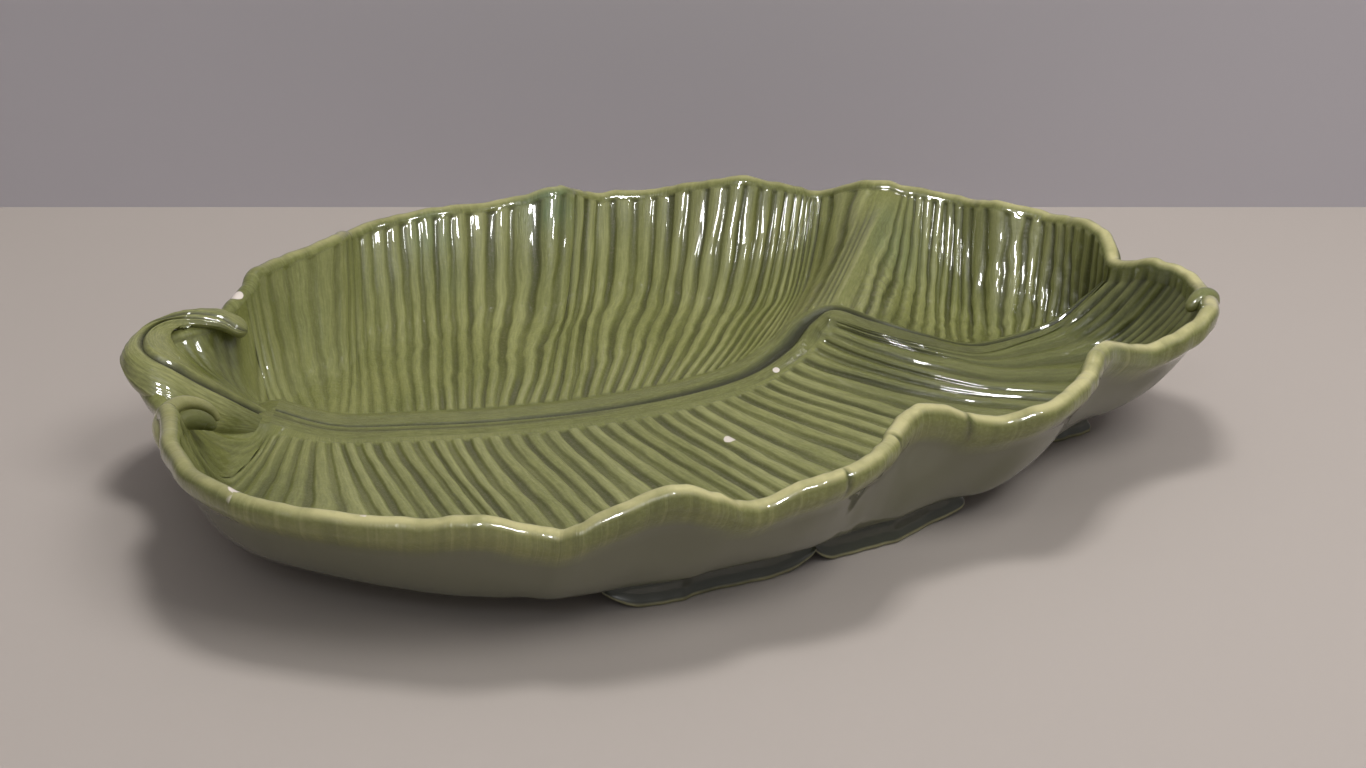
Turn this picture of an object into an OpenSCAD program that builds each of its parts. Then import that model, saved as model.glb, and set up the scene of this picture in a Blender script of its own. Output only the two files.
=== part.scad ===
// Divided leaf dish of glazed earthenware: a ribbed, scalloped leaf that stands on six foot lobes.
// The leaf lies along X with its stalk at -X, its width is along Y, and it stands on z = 0.

/* [Dish] */
// Length of the leaf from the stalk end to the far end
dish_length = 411; // [360:1:460]
// Width across the leaf
dish_width = 302; // [260:1:340]
// Height of the highest rim peak above the table
rim_peak_height = 62; // [54:0.5:76]
// How far a rim dip lies below a rim peak
rim_wave = 12; // [4:0.5:16]
// Thickness of the fired wall
wall = 5; // [4:0.1:6.5]
// Radius of the rolled lip along the rim
lip_radius = 3.6; // [3:0.1:4.5]
// Distance over which the floor curves up into the rim
wall_run = 35; // [28:1:42]

/* [Ribs] */
// Number of ribs in the back half of the main leaf
leaf_ribs = 42; // [24:1:42]
// Number of ribs in its front half
front_ribs = 36; // [20:1:42]
// Number of ribs in the side bowl
side_ribs = 20; // [12:1:20]
// Height of a rib above the groove beside it
rib_height = 1.2; // [0.6:0.1:2]
// Distance from a rib to its groove at which the rib has its full height: closer ribs are lower
rib_spacing = 2.4; // [2:0.1:6]

/* [Midribs] */
// Width of the main midrib
midrib_width = 20; // [16:0.5:24]
// Height of the midrib above the floor beside it
midrib_height = 2; // [1:0.1:3]
// Depth of the groove along the midrib
midrib_groove = 1.2; // [0.5:0.1:1.5]
// Height of the round crown along the divider
divider_crown = 4; // [1:0.1:5]
// Narrow seam between a midrib and the leaf beside it
seam = 0.1; // [0:0.05:0.3]

/* [Stalk] */
// Height of the stalk's lobe above the bowl beside it
stalk_rise = 5; // [2:0.1:8]
// How far the lobe's rim is drawn in under the stem
stem_inset = 5; // [2:0.1:6]
// How far the lobe's rim lies below the leaf's
stem_drop = 6; // [4:0.1:8]
// Radius of the stem's rounded outer side
stem_radius = 5; // [3:0.1:6]
// Swell of the stem between its groove and its outer side
stem_swell = 3; // [1:0.1:4]

/* [Foot] */
// Height of the foot lobes below the floor
foot_height = 8; // [6:0.1:11]
// Width of a foot lobe where it rests on the table
foot_width = 7; // [5:0.1:9]
// How far the foot flares out below its crease
foot_flare = 2; // [0.5:0.1:3]

/* [Hidden] */

// Height of the inside floor above the table
floor_height = foot_height + wall;
// Rise from the floor to the highest rim peak
inside_height = rim_peak_height - floor_height;

// Length and width between the crests of the lip
crest_length = dish_length - 2 * lip_radius;
crest_width = dish_width - 2 * lip_radius;

// Crest of the rim, counter-clockwise from the front ear beside the stalk:
// share of the crest's length and width, share of the wave from dip to peak, share of the wall's run
rim_shares = [
    [-0.494, -0.029, 0.60, 0.90], [-0.504, -0.120, 0.50, 0.90], [-0.496, -0.215, 0.50, 0.90],
    [-0.469, -0.281, 0.40, 0.90], [-0.425, -0.336, 0.30, 0.90], [-0.364, -0.396, 0.30, 0.90],
    [-0.310, -0.438, 0.50, 0.90], [-0.257, -0.462, 0.00, 0.90], [-0.230, -0.482, 0.30, 0.90],
    [-0.168, -0.492, 1.00, 0.90], [-0.126, -0.500, 0.60, 0.90], [-0.092, -0.494, 0.00, 0.90],
    [-0.038, -0.500, 0.40, 0.95], [0.009, -0.497, 0.60, 0.95], [0.043, -0.472, 0.75, 0.80],
    [0.073, -0.435, 0.90, 0.50], [0.104, -0.428, 1.00, 0.45], [0.162, -0.431, 0.20, 0.70],
    [0.214, -0.446, 0.50, 0.85], [0.258, -0.421, 0.65, 0.90], [0.285, -0.391, 0.80, 0.85],
    [0.314, -0.361, 1.00, 0.80], [0.376, -0.337, 0.30, 1.05], [0.421, -0.333, 0.60, 1.10],
    [0.455, -0.316, 1.00, 1.10], [0.488, -0.245, 0.70, 1.00], [0.501, -0.186, 0.70, 1.00],
    [0.486, -0.140, 0.85, 1.00], [0.471, -0.078, 0.35, 0.90], [0.478, -0.029, 1.00, 1.00],
    [0.476, 0.035, 0.90, 1.00], [0.464, 0.096, 0.70, 1.00], [0.428, 0.143, 0.90, 1.00],
    [0.413, 0.205, 0.60, 1.00], [0.371, 0.256, 0.80, 1.00], [0.331, 0.292, 1.00, 1.00],
    [0.297, 0.363, 0.20, 1.10], [0.258, 0.373, 0.50, 1.10], [0.207, 0.386, 1.00, 1.15],
    [0.162, 0.433, 0.60, 1.20], [0.123, 0.474, 0.20, 1.25], [0.070, 0.501, 0.10, 1.30],
    [0.035, 0.491, 0.50, 1.30], [0.007, 0.471, 0.90, 1.30], [-0.046, 0.498, 0.40, 1.30],
    [-0.117, 0.498, 0.50, 1.30], [-0.176, 0.498, 0.40, 1.30], [-0.225, 0.481, 0.30, 1.30],
    [-0.255, 0.423, 0.70, 1.20], [-0.310, 0.389, 0.60, 1.10], [-0.349, 0.348, 0.65, 1.00],
    [-0.374, 0.307, 0.30, 0.90], [-0.416, 0.273, 0.40, 0.80], [-0.469, 0.249, 0.40, 0.80],
    [-0.504, 0.178, 0.40, 0.80], [-0.507, 0.076, 0.40, 0.80]
];
// Places along the rim, counted in its points
rim_notch_share = 28;
rim_divider_side_share = 34.5;
rim_divider_back_share = 35.5;
rim_stalk_back_share = 51;
rim_stalk_front_share = 56;

// Main line from the stalk along the midrib to the raised junction, down the fold and up to the notch:
// share of the crest's length and width, share of the inside height, share of the midrib's half width
line_shares = [
    [-0.374, 0.162, 0.18, 1.10], [-0.322, 0.123, 0.04, 1.00], [-0.250, 0.096, 0.00, 1.00],
    [-0.176, 0.065, 0.00, 1.00], [-0.089, 0.045, 0.00, 1.00], [-0.001, 0.031, 0.00, 1.00],
    [0.083, 0.028, 0.02, 0.90], [0.136, 0.048, 0.12, 0.80], [0.170, 0.065, 0.31, 0.70],
    [0.198, 0.059, 0.43, 0.60], [0.229, 0.008, 0.39, 0.55], [0.269, -0.029, 0.29, 0.50],
    [0.319, -0.044, 0.16, 0.45], [0.371, -0.044, 0.16, 0.40], [0.416, -0.050, 0.25, 0.35],
    [0.445, -0.058, 0.45, 0.25], [0.462, -0.070, 0.64, 0.10]
];
// Places along the main line, counted in its points
line_junction_share = 9;
line_fold_end_share = 12;
line_end_share = 16;
// Half the divider's width at its foot, counted in the main line's points
divider_foot_share = 0.5;

// Where along the main line the back and the front ribs start, at even steps of their number
rib_start_shares = [0, 1.2, 2.2, 3.1, 3.95, 4.8, 5.65, 6.45, 7.2, 7.85, 8.5];
front_start_shares = [0, 1.04, 1.93, 2.72, 3.47, 4.19, 4.92, 5.65, 6.45, 7.66, 9];
// Where each rib meets the rim, for each point of the main line that it starts from
back_end_shares = [51, 48, 45.8, 44, 41, 38.6, 36.9, 36.1, 35.7, 35.5];
front_end_shares = [0, 5.2, 7.4, 9.2, 12.5, 15.6, 19.5, 22.7, 24.8, 28];
side_end_shares = [34.5, 34.2, 33.7, 32.8, 31.5, 30.3, 29.2, 28];

// Rows across the floor and up the wall, and how much of the rib height each one has
floor_row_shares = [0, 0.12, 0.4, 0.7, 1];
wall_row_shares = [0.22, 0.42, 0.6, 0.76, 0.9, 1];
rib_mask_shares = [0, 1, 1, 1, 1, 1, 1, 1, 0.9, 0.6, 0];
rows = len(floor_row_shares) + len(wall_row_shares) - 1;
// Least share of a section that stays floor where the leaf is narrow
floor_least_share = 0.3;
// Steepness of the wall, and how fast the floor falls away from a raised line
wall_power = 2;
fall_power = 3;
ramp_power = 1.15;
swell_power = 0.8;
// Share of the ribs over which a raised edge fades into the bowl
edge_share = 0.3;
// Angles of the points over the rolled lip
lip_angles = [135, 90, 45, 0];
// Columns of the divider and of the stalk's lobe
divider_columns = 6;
stalk_columns = 16;
// How soon the stalk's lobe leaves the bowl's own curve
stalk_power = 0.7;
// Steps of the midribs per point of the main line, and the step that its direction is measured over
line_steps = 4;
line_nudge_share = 0.1;
// Section across a midrib: share of the way across, share of the crown's height
strip_shares = [[0, 0], [0.15, 0.7], [0.35, 1], [0.5, 1], [0.6, 1], [0.7, 1], [0.85, 0.8], [1, 0]];
// The strip's point that lies in the groove
strip_groove_point = 4;
// Least share of the crown's height where the midrib is narrow
crown_least_share = 0.4;
// Share of the midrib whose front ribs bend with the fold, and of that whose ribs end on its side
bend_share = 0.42;
plumb_share = 0.2;
// Overrun of the cut that levels the feet
trim = 0.5;
// Stem from the midrib's end up the lobe and round the hook: its groove, its outer side and its inner edge,
// as shares of the crest's length and width and of the inside height
stem_groove_shares = [
    [-0.354, 0.125, 0.06], [-0.388, 0.136, 0.21], [-0.415, 0.134, 0.40], [-0.443, 0.131, 0.58],
    [-0.465, 0.137, 0.72], [-0.481, 0.149, 0.80], [-0.486, 0.173, 0.84], [-0.479, 0.214, 0.84],
    [-0.460, 0.244, 0.83], [-0.440, 0.254, 0.81], [-0.420, 0.251, 0.79], [-0.397, 0.243, 0.76]
];
stem_outer_shares = [
    [-0.366, 0.100, 0.03], [-0.408, 0.105, 0.10], [-0.441, 0.095, 0.27], [-0.468, 0.088, 0.45],
    [-0.491, 0.105, 0.60], [-0.506, 0.139, 0.68], [-0.507, 0.176, 0.76], [-0.492, 0.209, 0.82],
    [-0.473, 0.241, 0.85], [-0.443, 0.268, 0.84], [-0.419, 0.276, 0.82], [-0.394, 0.270, 0.80]
];
stem_inner_shares = [
    [-0.341, 0.154, 0.04], [-0.373, 0.173, 0.10], [-0.400, 0.180, 0.26], [-0.423, 0.176, 0.43],
    [-0.440, 0.179, 0.57], [-0.450, 0.192, 0.68], [-0.454, 0.210, 0.73], [-0.453, 0.226, 0.77],
    [-0.447, 0.234, 0.79], [-0.434, 0.237, 0.78], [-0.420, 0.234, 0.76], [-0.398, 0.231, 0.73]
];
// Steps along the stem, the share of it over which it grows, and how little is left of its end
stem_steps = 26;
stem_growth_share = 0.4;
stem_end_share = 0.5;
// Section across the stem: shares of the way from the groove to an edge, and of the swell there
stem_inner_way_shares = [[1, 0], [0.6, 0.4], [0.2, 0.3]];
stem_outer_way_shares = [[0.2, 0.5], [0.5, 1], [0.8, 0.8]];
stem_angles = [0, 50, 100];
// Columns of a foot lobe, and how far its ends turn inwards
foot_columns = 12;
foot_round = 14;
// How sharply a lobe's ends turn, and the share of the full turn that they reach
turn_power = 4;
turn_share = 0.96;
// Lift of the arch between two lobes above the table, and the share of half a lobe that it takes
foot_arch = 4;
arch_share = 0.3;
// How far the lobes are set in from the edge of the floor: under the stalk and the back, the far end and
// the bowl
foot_inset = 12;
tip_inset = 6;
bowl_inset = 2;
// Shares of the ribs that each lobe runs through
foot_stalk_shares = [0.06, 0.13, 0.20];
foot_front_shares = [0.30, 0.37, 0.44, 0.52];
foot_side_shares = [0.52, 0.57, 0.63, 0.70];
foot_tip_shares = [0.83, 0.87, 0.905];
foot_bowl_shares = [0.70, 0.50, 0.32];
foot_back_shares = [0.58, 0.43, 0.28];
leaf_color = [0.42, 0.47, 0.27];
rib_color = [0.52, 0.56, 0.35];
foot_color = [0.35, 0.37, 0.26];

// Point of a list, with the ends held
function held(points, i) = points[min(max(i, 0), len(points) - 1)];

// Smooth curve through a list of points or numbers, at a place counted in its points
function curve_at(points, place) =
    let (
        i = min(max(floor(place), 0), len(points) - 2),
        f = place - i,
        a = held(points, i - 1),
        b = points[i],
        c = points[i + 1],
        d = held(points, i + 2)
    )
    b + f * ((c - a) + f * ((2 * a - 5 * b + 4 * c - d) + f * (3 * (b - c) + d - a))) / 2;

function even_curve(values, share) = curve_at(values, share * (len(values) - 1));

rim_points = [
    for (p = concat(rim_shares, [rim_shares[0], rim_shares[1]]))
        [p[0] * crest_length, p[1] * crest_width, rim_peak_height - rim_wave * (1 - p[2]), p[3] * wall_run]
];
line_points = [
    for (p = line_shares)
        let (height = floor_height + p[2] * inside_height)
        [p[0] * crest_length, p[1] * crest_width, height, p[3] * midrib_width / 2]
];

function rim_at(place) = curve_at(rim_points, place);

// Edge of the main line's strip: side is 1 at the back and -1 at the front
function line_edge(place, side) =
    let (
        p = curve_at(line_points, place),
        after = curve_at(line_points, min(place + line_nudge_share, line_end_share)),
        q = after - curve_at(line_points, max(place - line_nudge_share, 0)),
        run = norm([q[0], q[1]])
    )
    [p[0] - side * p[3] * q[1] / run, p[1] + side * p[3] * q[0] / run, p[2]];

function mixed(a, b, share) = a * (1 - share) + b * share;
function fade(share) = pow(min(max(share, 0), 1), 2);

// Inner rows of one section from a start on the main line to the rim's crest.
// ramp is 0 for the bowl's own curve and 1 for a straight rise, lift raises the middle of the rows,
// and ribs are the heights of a rib at the start and at the crest
function inner_rows(start, crest, ramp, lift, ribs) =
    let (
        reach = norm([crest[0] - start[0], crest[1] - start[1]]) - lip_radius,
        way = [crest[0] - start[0], crest[1] - start[1]] / norm([crest[0] - start[0], crest[1] - start[1]]),
        run = min(crest[3], reach * (1 - floor_least_share)),
        flat = reach - run,
        top = crest[2] - lip_radius
    )
    [
        for (j = [0 : rows])
            let (
                on_floor = j < len(floor_row_shares),
                t = on_floor ? 0 : wall_row_shares[j - len(floor_row_shares)],
                s = on_floor ? flat * floor_row_shares[j] : flat + run * t,
                left = on_floor ? 1 - floor_row_shares[j] : 0,
                low = floor_height + (start[2] - floor_height) * pow(left, fall_power),
                bowl = mixed(low, top, pow(t, wall_power)),
                rise = mixed(start[2], top, pow(s / reach, ramp_power)),
                swell = lift * sin(180 * pow(s / reach, swell_power)),
                rib = mixed(ribs[0], ribs[1], s / reach) * rib_mask_shares[j]
            )
            [start[0] + way[0] * s, start[1] + way[1] * s, mixed(bowl, rise, ramp) + swell + rib]
    ];

// Closed section: the inner rows, the rolled lip and the outer rows below them.
// plumb is 1 where the wall stands on a strip's vertical side
function wall_section(inner, plain, crest, plumb) =
    let (
        across = [crest[0] - inner[rows - 1][0], crest[1] - inner[rows - 1][1]],
        way = across / norm(across),
        middle = crest[2] - lip_radius
    )
    concat(
        inner,
        [
            for (a = lip_angles)
                [
                    crest[0] + way[0] * lip_radius * cos(a),
                    crest[1] + way[1] * lip_radius * cos(a),
                    middle + lip_radius * sin(a)
                ]
        ],
        [
            for (j = [rows - 1 : -1 : 0])
                let (
                    step = plain[j + 1] - plain[max(j - 1, 0)],
                    run = norm([step[0], step[1]]),
                    slope = j == 0 ? 0 : step[2] / run * (1 - plumb),
                    size = wall / sqrt(1 + slope * slope)
                )
                plain[j] + [way[0] * slope * size, way[1] * slope * size, -size]
        ]
    );

// Solid through a row of closed sections, with its ends closed by the given triangles.
// other splits each side face along its other diagonal
module loft(sections, cap, other = false) {
    count = len(sections[0]);
    last = (len(sections) - 1) * count;
    sides = [
        for (i = [0 : len(sections) - 2], k = [0 : count - 1])
            let (a = i * count + k, b = i * count + (k + 1) % count)
            each other
                ? [[a, b, a + count], [b, b + count, a + count]]
                : [[a, b, b + count], [a, b + count, a + count]]
    ];
    start = [for (f = cap) [f[0], f[2], f[1]]];
    finish = [for (f = cap) [f[0] + last, f[1] + last, f[2] + last]];
    polyhedron(points = [for (s = sections) each s], faces = concat(sides, start, finish), convexity = 8);
}

// End triangles of a wall section: a ladder up the wall and a fan over the lip
lips = len(lip_angles);
wall_cap = [
    for (j = [0 : rows - 2]) let (o = 2 * rows + lips - j) each [[j, j + 1, o - 1], [j, o - 1, o]],
    for (k = [rows : rows + lips]) [rows - 1, k, k + 1]
];

// End triangles of a strip section of the given number of points
function fan_cap(count) = [for (k = [1 : count - 2]) [0, k, k + 1]];

// Heights of a rib at its start and at its crest. Ribs stand at the odd columns, with none at the panel's
// own edges, and they are lower where the next column lies close by
no_rib = [0, 0];
function rib_heights(column, columns, ends, next_ends) =
    column % 2 == 0 || column == 1 || column == columns - 1
        ? no_rib
        : [
            for (k = [0, 1])
                let (gap = [next_ends[k][0] - ends[k][0], next_ends[k][1] - ends[k][1]])
                rib_height * min(1, norm(gap) / rib_spacing)
        ];

// Start on the main line and crest on the rim of a column of each panel
function back_ends(column) =
    let (
        u = column / (2 * leaf_ribs),
        place = even_curve(rib_start_shares, u),
        end_place = u == 1
            ? rim_divider_back_share
            : even_curve(back_end_shares, place / line_junction_share)
    )
    [line_edge(place, 1), rim_at(end_place)];
function side_ends(column) =
    let (
        u = column / (2 * side_ribs),
        place = mixed(line_junction_share + divider_foot_share, line_end_share, u)
    )
    [line_edge(place, 1), rim_at(even_curve(side_end_shares, u))];
function front_place(column) = even_curve(front_start_shares, column / (2 * front_ribs));
function front_ends(column) =
    let (place = front_place(column))
    [line_edge(place, -1), rim_at(even_curve(front_end_shares, place / line_junction_share))];

function back_section(column) =
    let (
        ends = back_ends(column),
        ribs = rib_heights(column, 2 * leaf_ribs, ends, back_ends(column + 1)),
        ramp = fade((column / (2 * leaf_ribs) - 1 + edge_share) / edge_share),
        plain = inner_rows(ends[0], ends[1], ramp, 0, no_rib),
        ribbed = inner_rows(ends[0], ends[1], ramp, 0, ribs)
    )
    wall_section(ribbed, plain, ends[1], 0);

function divider_section(column) =
    let (
        u = column / divider_columns,
        foot = line_junction_share + mixed(-divider_foot_share, divider_foot_share, u),
        start = line_edge(foot, 1),
        crest = rim_at(mixed(rim_divider_back_share, rim_divider_side_share, u)),
        plain = inner_rows(start, crest, 1, divider_crown * sin(180 * u), no_rib)
    )
    wall_section(plain, plain, crest, 0);

function side_section(column) =
    let (
        ends = side_ends(column),
        ribs = rib_heights(column, 2 * side_ribs, ends, side_ends(column + 1)),
        ramp = fade((edge_share - column / (2 * side_ribs)) / edge_share),
        plain = inner_rows(ends[0], ends[1], ramp, 0, no_rib),
        ribbed = inner_rows(ends[0], ends[1], ramp, 0, ribs)
    )
    wall_section(ribbed, plain, ends[1], 0);

// The front ribs bend with the fold: each row moves towards the fold's own row as the ribs near it
fold_ends = [line_edge(line_junction_share, -1), rim_at(rim_notch_share)];
fold_base = inner_rows(fold_ends[0], fold_ends[1], 0, 0, no_rib);
function fold_way(row) =
    norm([fold_base[row][0] - fold_ends[0][0], fold_base[row][1] - fold_ends[0][1]])
    / norm([fold_base[rows][0] - fold_ends[0][0], fold_base[rows][1] - fold_ends[0][1]]);
fold_places = [for (j = [0 : rows]) mixed(line_junction_share, line_end_share, fold_way(j))];
fold_moves = [for (j = [0 : rows]) j == rows ? [0, 0, 0] : line_edge(fold_places[j], -1) - fold_base[j]];
// The fold's front edge runs straight from row to row
function fold_edge(place) =
    let (
        j = max([for (k = [0 : rows - 1]) fold_places[k] <= place ? k : 0]),
        share = (place - fold_places[j]) / (fold_places[j + 1] - fold_places[j])
    )
    mixed(line_edge(fold_places[j], -1), line_edge(fold_places[j + 1], -1), share);
function front_rows(column, ends, ribs) =
    let (
        base = inner_rows(ends[0], ends[1], 0, 0, ribs),
        share = fade((front_place(column) / line_junction_share - 1 + bend_share) / bend_share)
    )
    [for (j = [0 : rows]) base[j] + fold_moves[j] * share];

function front_section(column) =
    let (
        ends = front_ends(column),
        ribs = rib_heights(column, 2 * front_ribs, ends, front_ends(column + 1)),
        plain = front_rows(column, ends, no_rib),
        ribbed = front_rows(column, ends, ribs),
        plumb = fade((front_place(column) / line_junction_share - 1 + plumb_share) / plumb_share)
    )
    wall_section(ribbed, plain, ends[1], plumb);

function stalk_section(column) =
    let (
        u = column / stalk_columns,
        start = mixed(line_edge(0, 1), line_edge(0, -1), u),
        edge = rim_at(mixed(rim_stalk_back_share, rim_stalk_front_share, u)),
        bump = pow(sin(180 * u), stalk_power),
        out = [edge[0] - start[0], edge[1] - start[1]] / norm([edge[0] - start[0], edge[1] - start[1]]),
        crest = edge - bump * [out[0] * stem_inset, out[1] * stem_inset, stem_drop, 0],
        plain = inner_rows(start, crest, bump * bump, stalk_rise * bump * bump, no_rib)
    )
    wall_section(plain, plain, crest, 0);

// Section across the main line: two crowns with a groove between them, on a plate of the wall's thickness
function strip_section(place) =
    let (
        width = 2 * curve_at(line_points, place)[3],
        inset = seam / width,
        edge = place > line_junction_share ? fold_edge(place) : line_edge(place, -1),
        back = mixed(line_edge(place, 1), edge, inset),
        front = mixed(line_edge(place, 1), edge, 1 - inset),
        share = width / midrib_width,
        crown = midrib_height * mixed(crown_least_share, 1, min(1, share)),
        groove = midrib_groove * min(1, share)
    )
    concat(
        [
            for (k = [0 : len(strip_shares) - 1])
                let (lift = crown * strip_shares[k][1] - (k == strip_groove_point ? groove : 0))
                mixed(back, front, strip_shares[k][0]) + [0, 0, lift]
        ],
        [front - [0, 0, wall], back - [0, 0, wall]]
    );

module strip(first, last) {
    steps = round((last - first) * line_steps);
    sections = [for (i = [steps : -1 : 0]) strip_section(mixed(first, last, i / steps))];
    loft(sections, fan_cap(len(sections[0])));
}

module back_leaf() {
    color(leaf_color) loft([for (i = [0 : 2 * leaf_ribs]) back_section(i)], wall_cap);
}

module front_leaf() {
    color(leaf_color) loft([for (i = [2 * front_ribs : -1 : 0]) front_section(i)], wall_cap);
}

module side_leaf() {
    color(leaf_color) loft([for (i = [0 : 2 * side_ribs]) side_section(i)], wall_cap);
}

module divider() {
    color(rib_color) loft([for (i = [0 : divider_columns]) divider_section(i)], wall_cap);
}

module stalk() {
    color(rib_color) loft([for (i = [stalk_columns : -1 : 0]) stalk_section(i)], wall_cap);
}

// Point of the part for a row of a stem's table
function stem_point(shares) =
    [shares[0] * crest_length, shares[1] * crest_width, floor_height + shares[2] * inside_height];

// Closed section across the stem: the inner strip, the groove, the swollen outer strip and its underside
function stem_section(along) =
    let (
        groove = stem_point(even_curve(stem_groove_shares, along)),
        outer = stem_point(even_curve(stem_outer_shares, along)),
        inner = stem_point(even_curve(stem_inner_shares, along)),
        across = outer - groove,
        level = norm([across[0], across[1]]),
        way = [across[0] / level, across[1] / level, 0],
        lift = [-way[0] * across[2], -way[1] * across[2], level] / norm(across),
        grown = min(1, along / stem_growth_share),
        swell = stem_swell * grown,
        radius = stem_radius * mixed(stem_end_share, 1, grown)
    )
    concat(
        [for (w = stem_inner_way_shares) mixed(groove, inner, w[0]) + [0, 0, swell * w[1]]],
        [groove - [0, 0, midrib_groove * grown]],
        [for (w = stem_outer_way_shares) mixed(groove, outer, w[0]) + lift * swell * w[1]],
        [for (a = stem_angles) outer - way * radius * (1 - cos(a)) - [0, 0, radius * sin(a)]],
        [inner - [0, 0, radius * stem_end_share]]
    );

// The stem rests on the lobe and on the panels beside it, which are cut out of it
module stalk_curl() {
    last = stem_section(1);
    middle = (last[0] + last[len(last) - 3]) / 2;
    ahead = last[3] - stem_section(1 - 1 / stem_steps)[3];
    sections = concat(
        [for (i = [0 : stem_steps]) stem_section(i / stem_steps)],
        [[for (q = last) mixed(middle, q, stem_end_share) + ahead]]
    );
    color(rib_color) difference() {
        loft(sections, fan_cap(len(last)));
        stalk();
        back_leaf();
        front_leaf();
        midrib();
    }
}

// Place under the edge of the floor on a section's rows: x, y, the way outwards, height of the floor's
// underside and its slope
floor_edge_row = len(floor_row_shares) - 1;
function floor_edge(plain) =
    let (
        p = plain[floor_edge_row],
        way = p - plain[floor_edge_row - 1],
        run = norm([way[0], way[1]])
    )
    [p[0], p[1], way[0] / run, way[1] / run, p[2] - wall - seam, way[2] / run];
function front_edges(shares) = [
    for (u = shares)
        let (column = 2 * front_ribs * u)
        floor_edge(front_rows(column, front_ends(column), no_rib))
];
function back_edges(shares) = [
    for (u = shares)
        let (ends = back_ends(2 * leaf_ribs * u))
        floor_edge(inner_rows(ends[0], ends[1], 0, 0, no_rib))
];
function side_edges(shares) = [
    for (u = shares)
        let (ends = side_ends(2 * side_ribs * u))
        floor_edge(inner_rows(ends[0], ends[1], 0, 0, no_rib))
];

// How far a lobe's bottom is lifted where it runs into the next lobe, and turned in where it stands alone
function arch_at(x, arched) = arched ? foot_arch * fade((x - 1 + arch_share) / arch_share) : 0;
function turn_at(x, arched) =
    arched ? 0 : foot_round * (1 - sqrt(1 - turn_share * pow(max(0, x), turn_power)));

// Foot lobe along a smooth curve through places under the edge of the floor, set in by a distance.
// Each end runs into the next lobe by an arch, or turns inwards
module foot_lobe(edges, inset, arched_first, arched_last) {
    sections = [
        for (i = [foot_columns : -1 : 0])
            let (
                edge = even_curve(edges, i / foot_columns),
                way = [edge[2], edge[3]] / norm([edge[2], edge[3]]),
                x = 2 * i / foot_columns - 1,
                turned = inset + turn_at(-x, arched_first) + turn_at(x, arched_last),
                low = arch_at(-x, arched_first) + arch_at(x, arched_last) - trim,
                inside = foot_width + foot_flare + turned,
                places = [
                    [-turned, edge[4] - edge[5] * turned],
                    [foot_flare - turned, low],
                    [foot_flare - turned - foot_width, low],
                    [-inside, edge[4] - edge[5] * inside]
                ]
            )
            [for (p = places) [edge[0] + way[0] * p[0], edge[1] + way[1] * p[0], p[1]]]
    ];
    color(foot_color) difference() {
        loft(sections, fan_cap(len(sections[0])));
        translate([-dish_length, -dish_width, -foot_height])
            cube([2 * dish_length, 2 * dish_width, foot_height]);
    }
}

module foot_stalk() {
    foot_lobe(front_edges(foot_stalk_shares), foot_inset, false, false);
}

module foot_front() {
    foot_lobe(front_edges(foot_front_shares), 0, false, true);
}

module foot_side() {
    foot_lobe(front_edges(foot_side_shares), 0, true, false);
}

module foot_tip() {
    foot_lobe(front_edges(foot_tip_shares), tip_inset, false, false);
}

module foot_bowl() {
    foot_lobe(side_edges(foot_bowl_shares), bowl_inset, false, false);
}

module foot_back() {
    foot_lobe(back_edges(foot_back_shares), foot_inset, false, false);
}

module midrib() {
    color(rib_color) strip(0, line_junction_share);
}

module fold_rib() {
    color(rib_color) strip(line_junction_share, line_fold_end_share);
}

module side_midrib() {
    color(rib_color) strip(line_fold_end_share, line_end_share);
}

back_leaf();
front_leaf();
side_leaf();
divider();
midrib();
fold_rib();
side_midrib();
stalk();
stalk_curl();
foot_front();
foot_side();
foot_tip();
foot_bowl();
foot_back();
foot_stalk();
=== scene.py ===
"""Looks of a divided leaf dish of glazed earthenware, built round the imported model.

Sizes are in millimetres in the dish's own frame: X runs from the stalk to the far end, Y to the back, Z up.
The shell is one welded skin of blocks that share their edges: the back and front halves of the leaf on
either side of the midrib, the side bowl, the band along the fold, and the fan round the stalk's start.
A place on the rim or on the main line is counted in the points of its table.
"""
import math

import bmesh
import bpy
import numpy as np
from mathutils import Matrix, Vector


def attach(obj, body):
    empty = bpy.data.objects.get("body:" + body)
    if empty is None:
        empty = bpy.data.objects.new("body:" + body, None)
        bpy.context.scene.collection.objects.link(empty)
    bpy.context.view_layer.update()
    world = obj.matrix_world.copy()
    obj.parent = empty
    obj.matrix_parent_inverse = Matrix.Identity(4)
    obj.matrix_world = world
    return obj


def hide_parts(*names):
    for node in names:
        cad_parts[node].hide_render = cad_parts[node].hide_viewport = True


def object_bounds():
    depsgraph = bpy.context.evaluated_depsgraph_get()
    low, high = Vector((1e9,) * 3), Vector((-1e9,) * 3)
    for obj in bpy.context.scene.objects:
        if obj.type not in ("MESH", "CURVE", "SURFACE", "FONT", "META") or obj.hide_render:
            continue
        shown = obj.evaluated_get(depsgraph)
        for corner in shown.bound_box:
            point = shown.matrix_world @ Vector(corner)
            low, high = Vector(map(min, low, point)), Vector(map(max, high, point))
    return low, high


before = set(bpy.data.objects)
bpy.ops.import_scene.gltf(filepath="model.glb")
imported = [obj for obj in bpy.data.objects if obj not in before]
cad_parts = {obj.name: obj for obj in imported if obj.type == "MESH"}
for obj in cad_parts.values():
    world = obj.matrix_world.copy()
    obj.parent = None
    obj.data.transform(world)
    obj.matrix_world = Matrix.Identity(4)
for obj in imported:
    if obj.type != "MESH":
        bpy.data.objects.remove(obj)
cad_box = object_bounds()

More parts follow.
